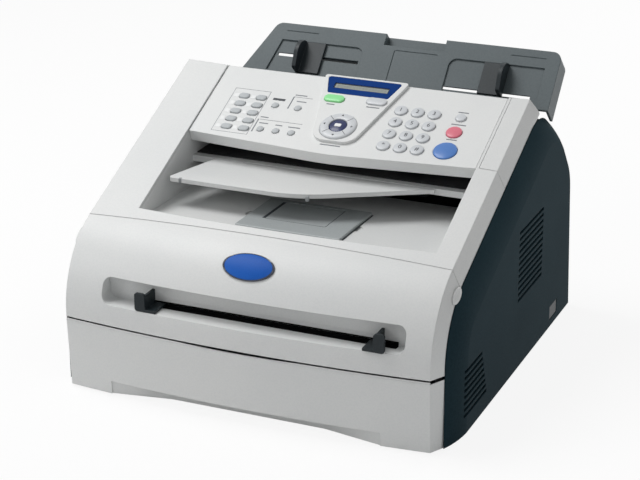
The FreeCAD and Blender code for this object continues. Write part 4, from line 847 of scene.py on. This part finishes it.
# Painted shade: dark bars where the shade falls in the gap between the flap and the tray's floor.
BED_SHADES = [(left_reach - BED_GAP / 2, bed_along, BED_GAP, bed_long),
       (right_reach + BED_GAP / 2, bed_along, BED_GAP, bed_long),
       (bed_across, front_reach - BED_GAP / 3, bed_wide + 2 * BED_GAP, BED_GAP * 2 / 3)]
put("flap_bed_painted_shade", lines_on(bed_place, BED_SHADES), UNMOVED, ink_and_painted_shade, "machine")
print("flap lines:", len(GAP_SHADES) + len(BED_SHADES))

# %% [markdown]
# ## Clips of the document support
#
# The light shelf above the output tray has two small clips at its front edge. They are only a few
# millimetres long, so a short bar with all its edges rounded is enough for each.

# %% Two clips
CLIPS_AT, CLIP_IN = (-0.111, 0.0158), 0.0012
CLIP_SIZE, CLIP_ROUND = (3.0, 3.0, 4.5), 0.0005
shelf_low, shelf_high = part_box("document_support")
clip_along, clip_high = shelf_low.y + CLIP_IN, (shelf_low.z + shelf_high.z) / 2
clips = []
for across in CLIPS_AT:
    clip = flat_bar(*CLIP_SIZE)
    bmesh.ops.bevel(clip, geom=list(clip.edges), offset=CLIP_ROUND, segments=3, profile=0.5, affect="EDGES",
                    material=-1)
    clips.append((clip, Matrix.Translation((across, clip_along, clip_high))))
put("shelf_clips", joined(clips), UNMOVED, clip_grey, "document_support")
print("clips:", len(clips))

# %% [markdown]
# ## Display
#
# A narrow dark frame lies round the display glass, and a row of faint character cells shows through it.
# The finish of the glass could draw both, but the cells need sharp ends. So the frame is made as four
# bars, and the cells as one row of thin plates just above the glass.

# %% Frame and character cells
glass_low, glass_high = leaning_box("lcd_screen")
glass_middle = (glass_low + glass_high) / 2
glass_half = (glass_high - glass_low) / 2 * 1000
glass_place = lean @ Matrix.Translation((glass_middle.x, glass_middle.y, glass_high.z + LINE_LIFT))
GLASS_FRAME = 0.8
CELLS, CELL_MARGIN, CELL_WIDE, CELL_TALL, CELL_THICK = 16, 2.0, 0.72, 0.9, 0.02
frame_bars = []
for sign in (-1, 1):
    upper = Matrix.Translation((0.0, sign * (glass_half.y - GLASS_FRAME / 2) / 1000, 0.0))
    outer = Matrix.Translation((sign * (glass_half.x - GLASS_FRAME / 2) / 1000, 0.0, 0.0))
    frame_bars.append((flat_bar(2 * glass_half.x, GLASS_FRAME), glass_place @ upper))
    frame_bars.append((flat_bar(GLASS_FRAME, 2 * glass_half.y), glass_place @ outer))
put("display_frame", joined(frame_bars), UNMOVED, ink_and_painted_shade, "control_panel")
pitch = 2 * (glass_half.x - CELL_MARGIN) / CELLS
cells = []
for number in range(CELLS):
    across = (number + 0.5) * pitch - glass_half.x + CELL_MARGIN
    cell = flat_bar(pitch * CELL_WIDE, glass_half.y * CELL_TALL, CELL_THICK)
    cells.append((cell, glass_place @ Matrix.Translation((across / 1000, 0, 0))))
put("display_cells", joined(cells), UNMOVED, cell_grey, "control_panel")
print("character cells:", CELLS)

# %% [markdown]
# ## Floor and light
#
# The picture is a studio shot on white. More light would whiten the floor, but it would also wash out the
# pale machine. So the wide pale floor is lifted towards white only for the camera and for reflections,
# and it keeps a soft shadow under the machine. The sky is white to the camera too, and lights the machine
# evenly at a lower level.

# %% Floor and sky
WHITE, PALE = (1.0, 1.0, 1.0, 1.0), (0.92, 0.92, 0.92, 1.0)
FLOOR_LIFT, FLOOR_HALF = 0.88, 40.0
SKY_LIGHT, SKY_SEEN = 0.26, 0.98


def floor_finish():
    paint = Paint("studio_floor")
    matt = paint.node("ShaderNodeBsdfDiffuse", {}, {"Color": PALE})
    lit = paint.node("ShaderNodeEmission", {}, {"Color": WHITE, "Strength": 1.0})
    share = paint.seen_or_mirrored() * FLOOR_LIFT
    mixed = paint.node("ShaderNodeMixShader", {}, {0: share, 1: matt, 2: lit})
    paint.node("ShaderNodeOutputMaterial", {}, {"Surface": mixed})
    return paint.material


ground = bmesh.new()
bmesh.ops.create_grid(ground, x_segments=1, y_segments=1, size=FLOOR_HALF)
ground_mesh = bpy.data.meshes.new("studio_floor")
ground.to_mesh(ground_mesh)
ground.free()
floor = bpy.data.objects.new("studio_floor", ground_mesh)
floor.data.materials.append(floor_finish())
bpy.context.scene.collection.objects.link(floor)

sky = Paint("studio_sky", bpy.data.worlds)
strength = sky.seen_or_mirrored() * (SKY_SEEN - SKY_LIGHT) + SKY_LIGHT
glow = sky.node("ShaderNodeBackground", {}, {"Color": WHITE, "Strength": strength})
sky.node("ShaderNodeOutputWorld", {}, {"Surface": glow})
bpy.context.scene.world = sky.material
print("floor:", 2 * FLOOR_HALF, "m wide, sky:", SKY_LIGHT)

# %% [markdown]
# A large soft lamp above and to the left gives the bright top and the greyer front. A small lamp on the
# left brightens that end of the bowed front, one on the right lifts the slanted end of the cover, and one
# behind keeps the dark back readable. Small sharp lamps would draw hard shadows, so each is a round area
# lamp, given by its place, the point it is aimed at, its power in watts and its width in metres.

# %% Lamps
def soft_lamp(name, place, target, power, size):
    lamp = bpy.data.lights.new(name, "AREA")
    lamp.shape = "DISK"
    lamp.energy = power
    lamp.size = size
    holder = bpy.data.objects.new(name, lamp)
    aim = Vector(target) - Vector(place)
    holder.matrix_world = Matrix.Translation(place) @ aim.to_track_quat("-Z", "Y").to_matrix().to_4x4()
    bpy.context.scene.collection.objects.link(holder)


soft_lamp("top_lamp", (-1.0, -0.15, 2.1), (0.0, 0.0, 0.15), 31.0, 1.2)
soft_lamp("left_lamp", (-1.0, -0.9, 0.8), (-0.1, -0.15, 0.15), 3.0, 0.6)
soft_lamp("right_lamp", (1.3, -0.8, 0.7), (0.1, -0.1, 0.15), 1.2, 0.6)
soft_lamp("rear_lamp", (0.6, 1.7, 1.0), (0.0, 0.1, 0.15), 9.0, 0.8)
print("lamps:", len(bpy.data.lights))
